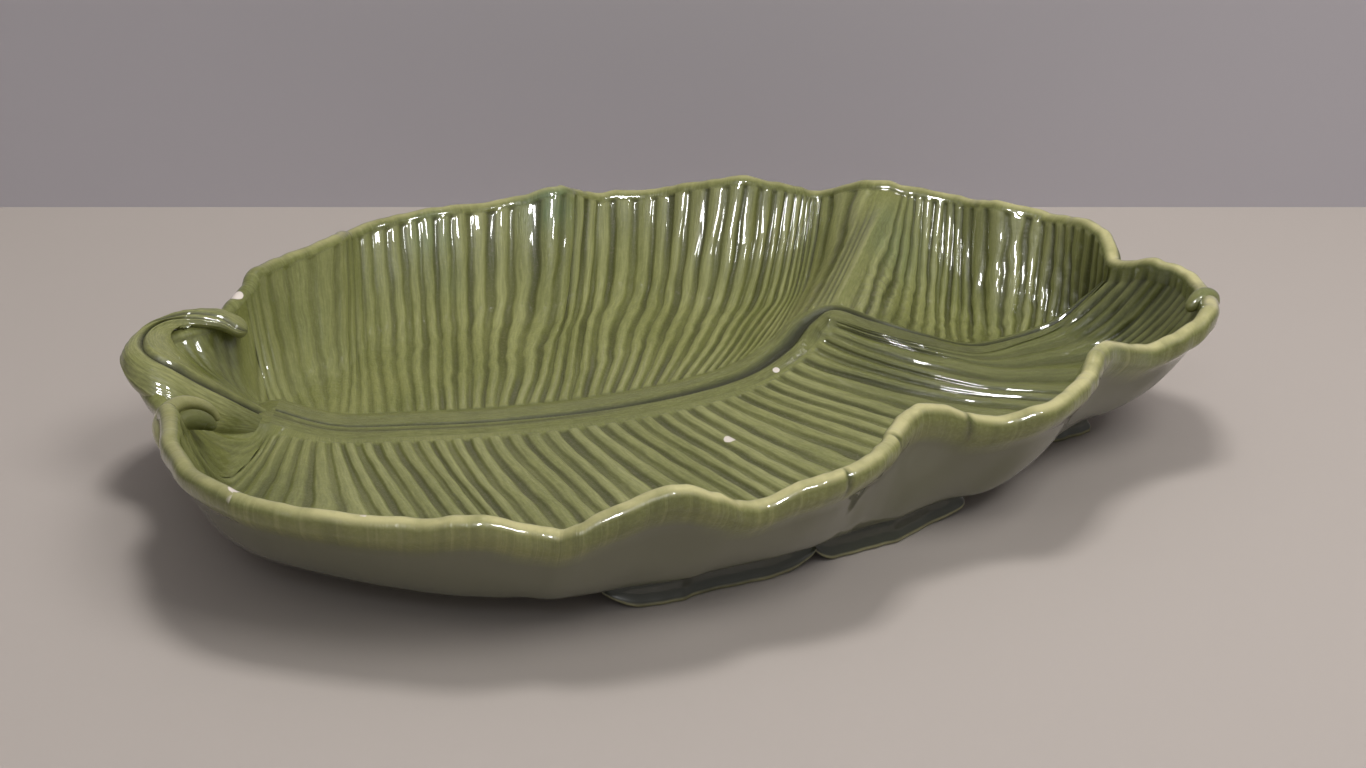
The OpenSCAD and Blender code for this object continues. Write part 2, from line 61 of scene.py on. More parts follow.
# Driving sizes
MM = 0.001
LENGTH = (cad_box[1].x - cad_box[0].x) / MM
WIDTH = (cad_box[1].y - cad_box[0].y) / MM
PEAK = 61.6
WAVE = 12.0
WALL = 5.0
LIP = 3.6
RUN = 35.0
FLOOR = 13.0
BAND_HEIGHT = 1.8
DIVIDER_CROWN = 2.4
RIB_HEIGHT = 1.5
RIB_SINK = 0.4

# Crest of the rim, counter-clockwise from the front ear beside the stalk:
# share of the length and width between crests, of the wave from dip to peak, and of the wall's run
RIM_SHARES = [
    [-0.494, -0.029, 0.6, 0.9], [-0.504, -0.12, 0.5, 1.05], [-0.496, -0.215, 0.5, 1.2],
    [-0.469, -0.281, 0.4, 1.25], [-0.425, -0.336, 0.3, 1.2], [-0.364, -0.396, 0.3, 1.1],
    [-0.31, -0.438, 0.5, 1], [-0.257, -0.462, 0, 0.9], [-0.23, -0.482, 0.3, 0.9],
    [-0.168, -0.492, 1, 0.9], [-0.126, -0.5, 0.6, 0.9], [-0.092, -0.494, 0, 0.9],
    [-0.038, -0.5, 0.4, 0.95], [0.009, -0.497, 0.6, 0.95], [0.043, -0.472, 0.75, 0.8],
    [0.073, -0.435, 0.9, 0.5], [0.104, -0.428, 1, 0.45], [0.162, -0.431, 0.2, 0.7],
    [0.214, -0.446, 0.5, 0.85], [0.258, -0.421, 0.65, 0.9], [0.285, -0.391, 0.8, 0.85],
    [0.314, -0.361, 1, 0.8], [0.376, -0.337, 0.3, 1.05], [0.421, -0.333, 0.6, 1.1],
    [0.455, -0.316, 1, 1.1], [0.488, -0.245, 0.7, 1], [0.501, -0.186, 0.7, 1],
    [0.486, -0.14, 0.85, 1], [0.471, -0.078, 0.35, 0.9], [0.478, -0.029, 1, 1],
    [0.476, 0.035, 0.9, 1], [0.464, 0.096, 0.7, 1], [0.428, 0.143, 0.9, 1],
    [0.413, 0.205, 0.6, 1], [0.371, 0.256, 0.8, 1], [0.331, 0.292, 1, 1],
    [0.297, 0.363, 0.2, 1.1], [0.258, 0.373, 0.5, 1.1], [0.207, 0.386, 1, 1.15],
    [0.162, 0.433, 0.6, 1.2], [0.123, 0.474, 0.2, 1.25], [0.07, 0.501, 0.1, 1.3],
    [0.035, 0.491, 0.5, 1.3], [0.007, 0.471, 0.9, 1.3], [-0.046, 0.498, 0.4, 1.3],
    [-0.117, 0.498, 0.5, 1.3], [-0.176, 0.498, 0.4, 1.3], [-0.225, 0.481, 0.3, 1.3],
    [-0.255, 0.423, 0.7, 1.2], [-0.31, 0.389, 0.6, 1.1], [-0.349, 0.348, 0.65, 1],
    [-0.374, 0.307, 0.3, 0.9], [-0.416, 0.273, 0.4, 0.8], [-0.469, 0.249, 0.4, 0.8],
    [-0.504, 0.178, 0.4, 0.8], [-0.507, 0.076, 0.4, 0.8],
]
# Groove of the main line from the stalk along the midrib to the junction, down the fold and up to the
# notch: share of the length and width and of the inside height, and width of the band behind and in
# front of the groove
LINE_SHARES = [
    [-0.374, 0.14, 0.18, 11, 9], [-0.322, 0.107, 0.05, 12.5, 8.5], [-0.25, 0.078, 0.02, 13, 8.5],
    [-0.176, 0.046, 0.02, 13, 8], [-0.089, 0.025, 0.02, 13, 8], [-0.001, 0.022, 0.02, 12.5, 8],
    [0.083, 0.034, 0.05, 11.5, 8.5], [0.136, 0.051, 0.17, 9.5, 9.5], [0.17, 0.069, 0.33, 7, 10.5],
    [0.199, 0.062, 0.43, 4, 9], [0.229, 0.008, 0.39, 2.8, 8.2], [0.269, -0.029, 0.29, 2.5, 7.5],
    [0.319, -0.044, 0.16, 3.1, 5.9], [0.371, -0.044, 0.16, 4, 4], [0.416, -0.05, 0.25, 3.5, 3.5],
    [0.445, -0.058, 0.45, 2.5, 2.5], [0.462, -0.07, 0.64, 1, 1],
]
JUNCTION = 9
LINE_END = 16
NOTCH = 28
DIVIDER_TOP = 34.5

# Where every fourth rib starts along the line, in each half of the leaf
RIBS_PER_STEP = 4
FRONT_RIB_PLACES = [0, 0.55, 1.2, 2.1, 2.97, 3.79, 4.6, 5.41, 6.27, 7.53, 9]
BACK_RIB_PLACES = [0, 0.65, 1.3, 2.0, 2.7, 3.4, 4.1, 4.8, 5.5, 6.2, 7.2, 9]
SIDE_RIBS = 22
# Where the sections from each point of the line meet the rim
FRONT_END_SHARES = [0, 5.2, 7.4, 9.2, 12.5, 15.6, 19.5, 22.7, 24.8, NOTCH]
BACK_END_SHARES = [51, 48, 45.8, 44, 41, 38.6, 36.9, 36.1, 35.4, DIVIDER_TOP]
SIDE_END_SHARES = [DIVIDER_TOP, 34.1, 33.5, 32.8, 31.5, 30.3, 29.2, NOTCH]
STALK_END_SHARES = [51, 56]
# Share of the midrib whose front ribs bend with the fold, and place where they end on its upright side
BEND_SHARE = 0.42
UPRIGHT_PLACE = 7.2
# Place from which the back ribs rise evenly to the divider, and the power of that change
RAMP_PLACE = 6
RAMP_POWER = 1.5

# Rows of a section: across the band, over the floor, up the wall, over the lip and down outside
BAND_ROWS = [0, 0.04, 0.08, 0.13, 0.2, 0.3, 0.42, 0.55, 0.66, 0.74, 0.82, 0.9, 1]
FLOOR_ROWS_BACK = 46
WALL_ROWS_BACK = 66
FLOOR_ROWS_FRONT = 180
WALL_ROWS_FRONT = 70
OUTER_ROWS = 40
LIP_ROWS = 14
COLUMNS_PER_RIB = 16
STALK_COLUMNS = 110


def curve(points, places):
    """Smooth curve through the points, at places counted in them."""
    points = np.asarray(points, float)
    places = np.asarray(places, float)
    i = np.clip(np.floor(places).astype(int), 0, len(points) - 2)
    f = places - i
    if points.ndim > 1:
        f = f[..., None]
    a = points[np.maximum(i - 1, 0)]
    b = points[i]
    c = points[i + 1]
    d = points[np.minimum(i + 2, len(points) - 1)]
    return b + f * ((c - a) + f * ((2 * a - 5 * b + 4 * c - d) + f * (3 * (b - c) + d - a))) / 2


def step(low, high, x):
    """Smooth step from 0 at low to 1 at high."""
    t = np.clip((x - low) / (high - low), 0, 1)
    return t * t * (3 - 2 * t)


def hump(x, middle, width):
    """Smooth bump of height 1 round the middle."""
    return np.exp(-((x - middle) / width) ** 2)


def waves(x, seed, cycles, size):
    """Seeded sum of sines over x, with the given numbers of cycles per unit of x."""
    rng = np.random.default_rng(seed)
    out = 0
    for cycle in cycles:
        out = out + rng.uniform(0.5, 1) * np.sin(2 * math.pi * (cycle * x + rng.uniform()))
    return out * size / len(cycles)


def unit(v):
    return v / np.maximum(np.linalg.norm(v, axis=-1, keepdims=True), 1e-9)


# Least values that are divided by, and the way up
LEAST = 0.01
TINY = 1e-6
UP = np.array([0, 0, 1.0])

# Rim and main line as points
crest_length = LENGTH - 2 * LIP
crest_width = WIDTH - 2 * LIP
rim_shares = np.array(RIM_SHARES)
rim_count = len(rim_shares)
rim_points = np.c_[
    rim_shares[:, 0] * crest_length,
    rim_shares[:, 1] * crest_width,
    PEAK - WAVE * (1 - rim_shares[:, 2]),
    rim_shares[:, 3] * RUN,
]
# The loop is closed by three points before its start and after its end
RIM_LAP = 3
rim_loop = np.r_[rim_points[-RIM_LAP:], rim_points, rim_points[:RIM_LAP + 1]]
line_shares = np.array(LINE_SHARES)
line_points = np.c_[
    line_shares[:, 0] * crest_length,
    line_shares[:, 1] * crest_width,
    FLOOR + line_shares[:, 2] * (PEAK - FLOOR),
    line_shares[:, 3:],
]


# Unevenness by hand, as seed, cycles round the rim and size: crest up and down, in and out, and lip
CREST_RISE = (5, (31, 47, 66, 83), 0.9)
CREST_SWAY = (6, (37, 59, 90), 0.5)
LIP_COARSE = (8, (17, 29, 41), 0.12)
LIP_FINE = (9, (110, 163), 0.05)


def rim_at(places):
    """Crest of the rim, the wall's run, and the way outwards, at places along the rim."""
    places = np.asarray(places, float)
    at = curve(rim_loop, places % rim_count + RIM_LAP)
    reach = 0.3
    along = unit((curve(rim_loop, (places + reach) % rim_count + RIM_LAP)
                  - curve(rim_loop, (places - reach) % rim_count + RIM_LAP))[..., :2])
    turn = places / rim_count
    crest = at[..., :3].copy()
    crest[..., 2] += waves(turn, *CREST_RISE)
    out = np.stack([along[..., 1], -along[..., 0]], -1)
    crest[..., :2] += out * waves(turn, *CREST_SWAY)[..., None]
    return crest, at[..., 3], out


def line_at(places):
    """Groove of the main line, the way to the back, and the band's widths behind and in front."""
    places = np.asarray(places, float)
    at = curve(line_points, places)
    nudge = 0.1
    along = unit((curve(line_points, np.minimum(places + nudge, LINE_END))
                  - curve(line_points, np.maximum(places - nudge, 0)))[..., :2])
    back = np.stack([-along[..., 1], along[..., 0]], -1)
    return at[..., :3], back, at[..., 3], at[..., 4]


def band_edge(places, side):
    """Edge of the band along the main line: side is 1 at the back and -1 at the front."""
    groove, back, behind, before = line_at(places)
    width = behind if side > 0 else before
    edge = groove.copy()
    edge[..., :2] += back * (side * width)[..., None]
    return edge, width


# Groove along the band: half its width and its depth, at each point of the main line
GROOVE_WIDTH = [0.8, 0.8, 0.9, 1.1, 1.5, 2.0, 2.5, 2.9, 2.8, 2.2, 1.3, 1.0, 1.0, 1.0, 1.0, 0.8, 0.5]
GROOVE_DEPTH = [0.8, 0.9, 1.1, 1.3, 1.6, 2.0, 2.4, 3.0, 3.0, 2.4, 1.4, 1.0, 1.3, 1.5, 1.5, 1.2, 0.8]
# Fine second groove in front of the main one: distance, half width and depth
SECOND_GROOVE = (3.6, 0.7, 0.7)
# Height of the band above the floor, as a share, at each point of the main line
BAND_SHARES = [0.9, 0.8, 0.7, 0.7, 0.7, 0.7, 0.8, 1.0, 1.0, 0.9, 0.7, 0.7, 0.8, 0.8, 0.8, 0.6, 0.2]
# Fine ridges beside the band's back edge: distance from the edge, half width and height
EDGE_RIDGES = [(1.3, 0.7, 0.55), (3.6, 0.8, 0.4), (6.4, 0.9, 0.2)]
# Band widths over which the ridges come in, places over which the second groove ends, and its pooled glaze
RIDGE_WIDTHS = (6, 10)
SECOND_ENDS = (3.5, 5)
SECOND_POOL = 0.6
# Powers by which the band's crown falls to its back edge and to its front edge, and its unevenness
CROWN_FALL_BACK = 5
CROWN_FALL_FRONT = 2.2
BAND_UNEVEN = (17, (7, 11, 19), 0.12)
# Share of the band's width beyond which its relief ends
RELIEF_END = 0.93


def band_relief(places, away, width, side):
    """Height of the band and share of pooled glaze, at distances away from its groove."""
    q = np.clip(away / np.maximum(width, LEAST), 0, 1)
    dip = np.exp(-(away / curve(GROOVE_WIDTH, places)) ** 4)
    fall = CROWN_FALL_BACK if side > 0 else CROWN_FALL_FRONT
    height = BAND_HEIGHT * curve(BAND_SHARES, places) * (1 - q ** fall) - curve(GROOVE_DEPTH, places) * dip
    if side > 0:
        ridges = sum(high * hump(width - away, at, half) for at, half, high in EDGE_RIDGES)
    else:
        at, half, low = SECOND_GROOVE
        cut = hump(away, at, half) * (1 - step(*SECOND_ENDS, places))
        ridges = -low * cut
        dip = np.maximum(dip, SECOND_POOL * cut)
    return height + ridges * step(*RIDGE_WIDTHS, width), dip


def band_rows(line_places, side):
    """Rows across one half of the band, from the groove to its edge, their pooled glaze, and that edge."""
    groove, back, _, _ = line_at(line_places)
    edge, width = band_edge(line_places, side)
    b = np.array(BAND_ROWS)
    away = width[:, None] * b
    rows = np.empty((len(line_places), len(b), 3))
    rows[..., :2] = groove[:, None, :2] + back[:, None] * (side * away)[..., None]
    relief, dip = band_relief(line_places[:, None], away, width[:, None], side)
    relief = relief + waves(line_places[:, None] * 3 + b * 2, *BAND_UNEVEN) * (1 - dip)
    rows[..., 2] = groove[:, None, 2] + relief * (1 - step(RELIEF_END, 1, b))
    return rows, dip, edge


# Powers of the floor's fall, the wall's curve and an even rise, and the wall's largest share of a section
FLOOR_FALL = 3
WALL_CURVE = 2
RISE_CURVE = 1.15
WALL_MOST = 0.7


def plain_section(edge, rim, floor_rows, wall_rows, ramp=0):
    """Plain rows from the band's edge over the floor and up the wall to the inside of the lip, how far away
    they are and their reach; ramp is the share of an even rise instead of a floor and a wall"""
    crest, run, out = rim
    gap = crest[:, :2] - out * LIP - edge[:, :2]
    reach = np.linalg.norm(gap, axis=1)[:, None]
    wall = np.minimum(run[:, None], reach * WALL_MOST)
    flat = reach - wall
    f = np.linspace(0, 1, floor_rows + 1)
    w = np.linspace(0, 1, wall_rows + 1)[1:]
    away = np.concatenate([flat * f, flat + wall * w], axis=1)
    way = gap / np.maximum(reach, TINY)
    plan = edge[:, None, :2] + way[:, None] * away[..., None]
    start, top = edge[:, None, 2], (crest[:, 2] - LIP)[:, None]
    low = FLOOR + (start - FLOOR) * np.clip(1 - away / np.maximum(flat, LEAST), 0, 1) ** FLOOR_FALL
    up = np.clip((away - flat) / np.maximum(wall, LEAST), 0, 1) ** WALL_CURVE
    rise = start + (top - start) * np.clip(away / reach, 0, 1) ** RISE_CURVE
    z = (low * (1 - up) + top * up) * (1 - ramp) + rise * ramp
    return np.dstack([plan, z]), away, reach


def section_normals(points):
    """Upward normals of a grid of points, from its differences along rows and columns."""
    n = unit(np.cross(np.gradient(points, axis=0), np.gradient(points, axis=1)))
    return n * np.where(n[..., 2:] < 0, -1, 1)


# Grooves: half width as a share of the spacing, how much less near the rim, and the depths where it changes
GROOVE_HALF = 0.11
GROOVE_LESS = 0.03
GROOVE_DEPTHS = (8, 30)
# Ribs: power of their section, spacing for full height, least and most share of it, distance over which
# they start, depths over which they end and grow, and their height near the rim
RIB_ROUND = 0.8
RIB_PITCH = 5.0
RIB_SIZES = (0.15, 1.1)
RIB_START = 2.2
RIB_ENDS = (-0.5, 4.5)
RIB_DEPTHS = (5, 28)
RIB_LOW = 0.6
# Fine lines on a rib, where the glaze breaks pale; the first, stronger one is also a painted highlight on the
# flank that catches the light: side, distance from the groove, half width and share
RIB_LINES = [(1, 0.12, 0.06, 1.0), (-1, 0.2, 0.07, 0.4)]
LINE_RISE = 0.14
# What each rib has of its own, as size, turn from rib to rib and length: width, pooled and pale glaze
OWN_WIDTHS = [(0.035, 2.4, 23), (0.03, 5.1, -31)]
OWN_POOL = (0.25, 3.7, 17)
OWN_PALE = (0.5, 7.3, 29)


def own(number, away, size, turn, length):
    return size * np.sin(number * turn + away / length)


def ribbed(plain, phase, away, crest, start, strength=1.0, shift=0.0):
    """Plain rows raised by their ribs; grooves lie at whole phases. Also the masks of pooled glaze in the
    grooves and of thin glaze beside them, partly a painted highlight"""
    gap = np.linalg.norm(np.gradient(plain, axis=0), axis=2)
    pitch = gap / np.maximum(np.abs(np.gradient(phase, axis=0)), TINY)
    depth = crest[:, None, 2] - plain[..., 2]
    number = np.round(phase)
    signed = phase - number
    groove = GROOVE_HALF - GROOVE_LESS * (1 - step(*GROOVE_DEPTHS, depth))
    groove = groove + sum(own(number, away, *wave) for wave in OWN_WIDTHS)
    t = np.clip((np.abs(signed) - groove) / (0.5 - groove), 0, 1)
    shape = np.sin(math.pi / 2 * t) ** RIB_ROUND
    # Pale lines beside each groove: glaze breaking, stronger on one side as a painted highlight
    line = sum(share * hump(side * signed, groove + at, half) for side, at, half, share in RIB_LINES)
    size = np.clip(pitch / RIB_PITCH, *RIB_SIZES)
    ends = step(start, start + RIB_START, away) * step(RIB_ENDS[0], RIB_ENDS[1] + shift, depth) * strength
    rise = RIB_HEIGHT * size * ends * (RIB_LOW + (1 - RIB_LOW) * step(*RIB_DEPTHS, depth))
    height = shape + LINE_RISE * line - RIB_SINK
    pool = (1 - step(0.0, 0.85, shape)) * ends * (1 - OWN_POOL[0] + own(number, away, *OWN_POOL))
    pale = 0.5 + own(np.floor(phase), away, *OWN_PALE)
    thin = (0.6 * line + (0.35 + 0.65 * pale) * shape ** 2) * ends * step(0.2, 0.7, size)
    return plain + section_normals(plain) * (rise * height)[..., None], pool, thin


# Drift of the ribs: ribs to a unit of its waves, then cycles, lean and share of its slow and its quick part
DRIFT_RIBS = 40
DRIFTS = [((1.7, 3.1, 5.3), 0.35, 1.0), ((6.1, 9.7, 14.3), -0.6, 0.5)]


def wander(phase, share, seed, size):
    """Slow sideways drift of the ribs along their length."""
    drift = sum(waves(phase / DRIFT_RIBS + share * lean, seed + k, cycles, part)
                for k, (cycles, lean, part) in enumerate(DRIFTS))
    return size * drift * step(0.0, 0.35, share) * (1 - 0.2 * share)


# Turn of the rows over the lip, from its inside to its outside, in degrees
LIP_ANGLES = np.linspace(165, 0, LIP_ROWS)
# Seams over the lip's outside: places on the rim, half width, depth on the lip and below it, and their end
SEAM_PLACES = [12.6, 14.2, 16.6, 25.0, 24.6]
SEAM_HALF = 0.05
SEAM_LIP = 0.8
SEAM_BEAD = 0.9
SEAM_DEPTHS = (4, 9)
# Creases down the outside: place on the rim, half width and depth; middle and half height below the lip
CREASES = [(13.6, 0.8, 3.0), (17.7, 0.8, 3.5)]
CREASE_MIDDLE = 22
CREASE_HALF = 14
# Bead below the lip: how far it stands out and the depths over which it ends
BEAD = 2.8
BEAD_DEPTHS = (6, 10.5)
# Columns that the outside is evened over, so that it doesn't fold up, and the depths where that starts
EVEN_COLUMNS = 21
EVEN_DEPTHS = (2, 8)


def seams_at(places):
    return sum(hump(places, at, SEAM_HALF) for at in SEAM_PLACES)[:, None]


def lip_rows(crest, out, places):
    """Rows over the rolled lip, from inside to outside."""
    angles = np.radians(LIP_ANGLES)
    thick = 1 + waves(places / rim_count, *LIP_COARSE) + waves(places / rim_count, *LIP_FINE)
    seams = seams_at(places) * np.cos(angles / 2)[None] ** 2
    rows = np.empty((len(crest), LIP_ROWS, 3))
    level = LIP * np.cos(angles)[None] - SEAM_LIP * seams
    rows[..., :2] = crest[:, None, :2] + out[:, None] * level[..., None]
    radius = (LIP * thick)[:, None] - SEAM_LIP * seams
    rows[..., 2] = (crest[:, 2] - LIP)[:, None] + radius * np.sin(angles)[None]
    return rows, seams


def evened(rows, width):
    """Moving average across the columns, which leaves the first and last columns where they are."""
    reach = width // 2
    weights = np.hanning(width + 2)[1:-1]
    held = np.pad(rows, ((reach, reach), (0, 0), (0, 0)), "edge")
    mean = sum(weight * held[i:i + len(rows)] for i, weight in enumerate(weights / weights.sum()))
    near = np.minimum(np.arange(len(rows)), np.arange(len(rows))[::-1])
    return rows + (mean - rows) * step(0, reach, near)[:, None, None]


def outer_rows(plain, crest, out, upright, places):
    """Rows down the outside: the inside surface set off by the wall, with a round bead below the lip."""
    count = plain.shape[1]
    picks = np.unique(np.round((1 - np.linspace(0, 1, OUTER_ROWS) ** 1.3) * (count - 1)).astype(int))[::-1]
    run = np.gradient(plain, axis=1)
    level = np.linalg.norm(run[..., :2], axis=2)
    slope = run[..., 2] / np.maximum(level, TINY)
    slope[:, 0] = 0
    slope *= 1 - upright
    way = run[..., :2] / np.maximum(level, TINY)[..., None]
    share = np.linspace(0, 1, count)[None, :, None] ** 3
    way = unit(way * (1 - share) + out[:, None] * share)
    size = WALL / np.sqrt(1 + slope ** 2)
    rows = plain.copy()
    rows[..., :2] += way * (slope * size)[..., None]
    rows[..., 2] -= size
    below = np.maximum(crest[:, None, 2] - LIP - rows[..., 2], 0)
    crease = sum(depth * hump(places, at, half) for at, half, depth in CREASES)[:, None]
    seams = seams_at(places) * (1 - step(*SEAM_DEPTHS, below))
    bulge = BEAD * (1 - step(*BEAD_DEPTHS, below)) - crease * hump(below, CREASE_MIDDLE, CREASE_HALF)
    rows[..., :2] += way * (bulge - SEAM_BEAD * seams)[..., None]
    rows += (evened(rows, EVEN_COLUMNS) - rows) * step(*EVEN_DEPTHS, below)[..., None]
    return rows[:, picks], seams[:, picks]


# Masks of the glaze and of the painted shade, kept at the mesh's points
MASKS = ("pool", "thin", "cream", "outer", "band", "chip", "teal", "warm", "shade_and_root", "across", "along")
# How pale the glaze is over the lip, by the turn of its rows
LIP_PALE = np.interp(LIP_ANGLES, [0, 30, 60, 105, 130, 165], [0.15, 0.4, 0.95, 1, 0.6, 0.1])
# Share of the pale glaze along the rim, as places and shares
PALE_PLACES = [0, 3, 4.5, 27, 29, 33, 36, 49, 51, 55.4, 56]
PALE_SHARES = [0.5, 0.6, 1, 1, 0.85, 0.7, 0.6, 0.6, 0.1, 0.1, 0.5]
# Pale glaze below the lip, inside and outside, the depths where it ends, and where the outside's tone starts
PALE_INSIDE = 0.3
PALE_OUTSIDE = 0.2
INSIDE_DEPTHS = (2, 6)
OUTSIDE_DEPTHS = (0, 3)
OUTER_DEPTHS = (8, 13)

# Chips of bare clay on the rim, and small spots of the clay's pale tone on the front lip and the floor;
# patches of blue-green glaze and the brownish slope: middle and radius
CHIPS = [
    (-203.5, 62, 50, 2.6), (-152, 89.6, 52.5, 2.7), (-190.5, -77.5, 56.5, 3.3),
    (-192.5, -80, 51.5, 3), (-157.5, -109.5, 55.5, 2.6), (6.7, -36.7, 14, 2.4), (47.2, 5.2, 17.5, 1.7),
]
# Share of their radius over which chips and patches fade
CHIP_FADE = 0.25
PATCH_FADE = 0.9
TEAL_SPOTS = [
    (-56.1, 138, 48, 10), (-1.7, 135, 52, 12), (61.7, 89.2, 50, 11), (70.4, 91.4, 54, 11),
    (135.3, 48.8, 48, 16), (-51.2, 120, 36, 9), (48.1, -117.8, 52, 8), (132.4, -100.7, 54, 12),
    (150.3, -112, 52, 10), (196, -77, 56, 7),
]
WARM_SPOTS = [(77.6, 53.8, 30.0, 15), (70.0, 42.0, 26.0, 12), (92.0, 74.0, 42.0, 16)]
# Spheres of painted shade in the dish's hollows, darker where less light falls: along the fold and in the tip
# lobe, inside the stem's hook and by the front ear; middle and radius
SHADE_SPOTS = [
    (100, -18, 17, 32), (118, -36, 22, 38), (155, -45, 22, 36), (178, -35, 28, 30), (190, -50, 43, 26),
    (-166, 60, 34, 16), (-178, -8, 30, 24), (-185, -45, 36, 18),
]


def spots(points, table, edge):
    """Mask that is 1 inside the table's spheres and fades over the given share of their radius."""
    out = np.zeros(points.shape[:-1])
    for x, y, z, radius in table:
        far = np.linalg.norm(points - np.array([x, y, z]), axis=-1) / radius
        out = np.maximum(out, 1 - step(1 - edge, 1 + edge, far))
    return out


def masks_of(points, pool=0, thin=0, cream=0, outer=0, band=0, shade_and_root=0, across=0, along=0):
    shape = points.shape[:2]
    chip = spots(points, CHIPS, CHIP_FADE)
    teal, warm, painted_shade = (spots(points, table, PATCH_FADE) for table in (TEAL_SPOTS, WARM_SPOTS, SHADE_SPOTS))
    rows = (pool, thin, cream, outer, band, chip, teal, warm, np.maximum(shade_and_root, painted_shade), across, along)
    return np.stack([np.broadcast_to(m, shape) for m in rows], -1).astype(float)


# Points closer than this are one
WELD = 0.03


def placed(name, data):
    """New object of the scene."""
    made = bpy.data.objects.new(name, data)
    bpy.context.scene.collection.objects.link(made)
    return made


def mesh_piece(name, points, faces, masks):
    """Smooth piece from points in millimetres, with coinciding points welded."""
    mesh = bpy.data.meshes.new(name)
    mesh.from_pydata((points * MM).tolist(), [], faces.tolist())
    for k, mask in enumerate(MASKS):
        mesh.attributes.new(mask, "FLOAT", "POINT").data.foreach_set("value", masks[:, k].astype(np.float32))
    work = bmesh.new()
    work.from_mesh(mesh)
    bmesh.ops.remove_doubles(work, verts=work.verts, dist=WELD * MM)
    work.to_mesh(mesh)
    work.free()
    mesh.shade_smooth()
    return placed(name, mesh)


def grid_faces(a, b):
    """Quads between two grids of point numbers, of which b lies one column on."""
    return np.stack([a[:-1], a[1:], b[1:], b[:-1]], -1).reshape(-1, 4)


def grid_piece(name, points, masks):
    """Piece from a grid of points whose rows are closed rings."""
    numbers = np.arange(points.shape[0] * points.shape[1]).reshape(points.shape[:2])
    faces = grid_faces(numbers, np.roll(numbers, -1, axis=1))
    return mesh_piece(name, points.reshape(-1, 3), faces, masks.reshape(-1, len(MASKS)))


# Blocks of the dish's skin, each as its points, its masks and whether its faces are turned over
skin = []


def skin_piece(name):
    """One piece from all blocks of the skin."""
    faces, count = [], 0
    for points, _, flip in skin:
        numbers = count + np.arange(points.shape[0] * points.shape[1]).reshape(points.shape[:2])
        quads = grid_faces(numbers[:, :-1], numbers[:, 1:])
        faces.append(quads[:, ::-1] if flip else quads)
        count += numbers.size
    points = np.concatenate([points.reshape(-1, 3) for points, _, _ in skin])
    masks = np.concatenate([masks.reshape(-1, len(MASKS)) for _, masks, _ in skin])
    return mesh_piece(name, points, np.concatenate(faces), masks)


# Grain of the glaze: millimetres across and along the ribs for one step of its coordinates
GRAIN_WIDTH = 5.0
GRAIN_LENGTH = 10.0
LIP_GRAIN = 0.4

# Columns along the midrib that both halves share
FRONT_RIBS = (len(FRONT_RIB_PLACES) - 1) * RIBS_PER_STEP
BACK_RIBS = (len(BACK_RIB_PLACES) - 1) * RIBS_PER_STEP
FINE_STEPS = 4001
front_phase = np.linspace(0, FRONT_RIBS, FRONT_RIBS * COLUMNS_PER_RIB + 1)
places = curve(FRONT_RIB_PLACES, front_phase / RIBS_PER_STEP)
fine = np.linspace(0, BACK_RIBS, FINE_STEPS)
back_phase = np.interp(places, curve(BACK_RIB_PLACES, fine / RIBS_PER_STEP), fine)


def band_parts(band, dip, line_places):
    """The band and the underside below it, each with its masks."""
    under = band.copy()[:, ::-1]
    under[..., 2] = line_at(line_places)[0][:, None, 2] - WALL
    aside = np.linalg.norm(band - band[:, :1], axis=-1) / GRAIN_WIDTH
    masks = masks_of(band, pool=dip, band=1, across=aside, along=band[..., 0] / GRAIN_LENGTH)
    return (band, masks), (under, masks_of(under, outer=1))


def close_block(band, dip, inner, plain, crest, out, ends, upright, flip, line_places):
    """Joins band, ribbed inside, lip and outside into one block of the skin; inner holds the ribbed rows
    and their masks of pooled and thin glaze"""
    rows, pool, thin, phase, away = inner
    lip, lip_seams = lip_rows(crest, out, ends)
    outer, seams = outer_rows(plain, crest, out, upright, ends)
    depth = crest[:, None, 2] - rows[..., 2]
    below = crest[:, None, 2] - LIP - outer[..., 2]
    share = np.interp(ends % rim_count, PALE_PLACES, PALE_SHARES)[:, None]
    pale = PALE_INSIDE * (1 - step(*INSIDE_DEPTHS, depth)) * share
    pale_outer = PALE_OUTSIDE * (1 - step(*OUTSIDE_DEPTHS, below))
    phase = np.broadcast_to(phase, rows.shape[:2])
    along = away / GRAIN_LENGTH
    grain = {"across": LIP_GRAIN * phase[:, -1:], "along": along[:, -1:]}
    band_part, (under, under_masks) = band_parts(band, dip, line_places)
    block = [
        band_part,
        (rows[:, 1:], masks_of(rows, pool=pool, thin=thin, cream=pale, across=phase, along=along)[:, 1:]),
        (lip, masks_of(lip, cream=LIP_PALE * (1 - lip_seams) * share, pool=lip_seams, **grain)),
        (outer, masks_of(outer, cream=pale_outer, outer=step(*OUTER_DEPTHS, below), pool=seams, **grain)),
        (under[:, 1:], under_masks[:, 1:]),
    ]
    points, masks = zip(*block)
    skin.append((np.concatenate(points, axis=1), np.concatenate(masks, axis=1), flip))


# Crest of the divider, from the junction up to the rim
divider_foot = line_at(np.array([JUNCTION]))[0][0]
divider_top = rim_at(np.array([DIVIDER_TOP]))[0][0]
DIVIDER_HALF = 3.4
# Fine lines beside the divider: their height and spacing and where they start and end
LINE_HEIGHT = 0.6
LINE_SPACING = 2.7
LINES_FROM = 4.0
LINES_TO = 12.5


def divider_places(points):
    """Distance from the divider's crest in plan, and share of the way up along it."""
    span = (divider_top - divider_foot)[:2]
    length = np.linalg.norm(span)
    way = span / length
    gap = points[..., :2] - divider_foot[:2]
    return np.abs(gap[..., 0] * way[1] - gap[..., 1] * way[0]), (gap @ way) / length


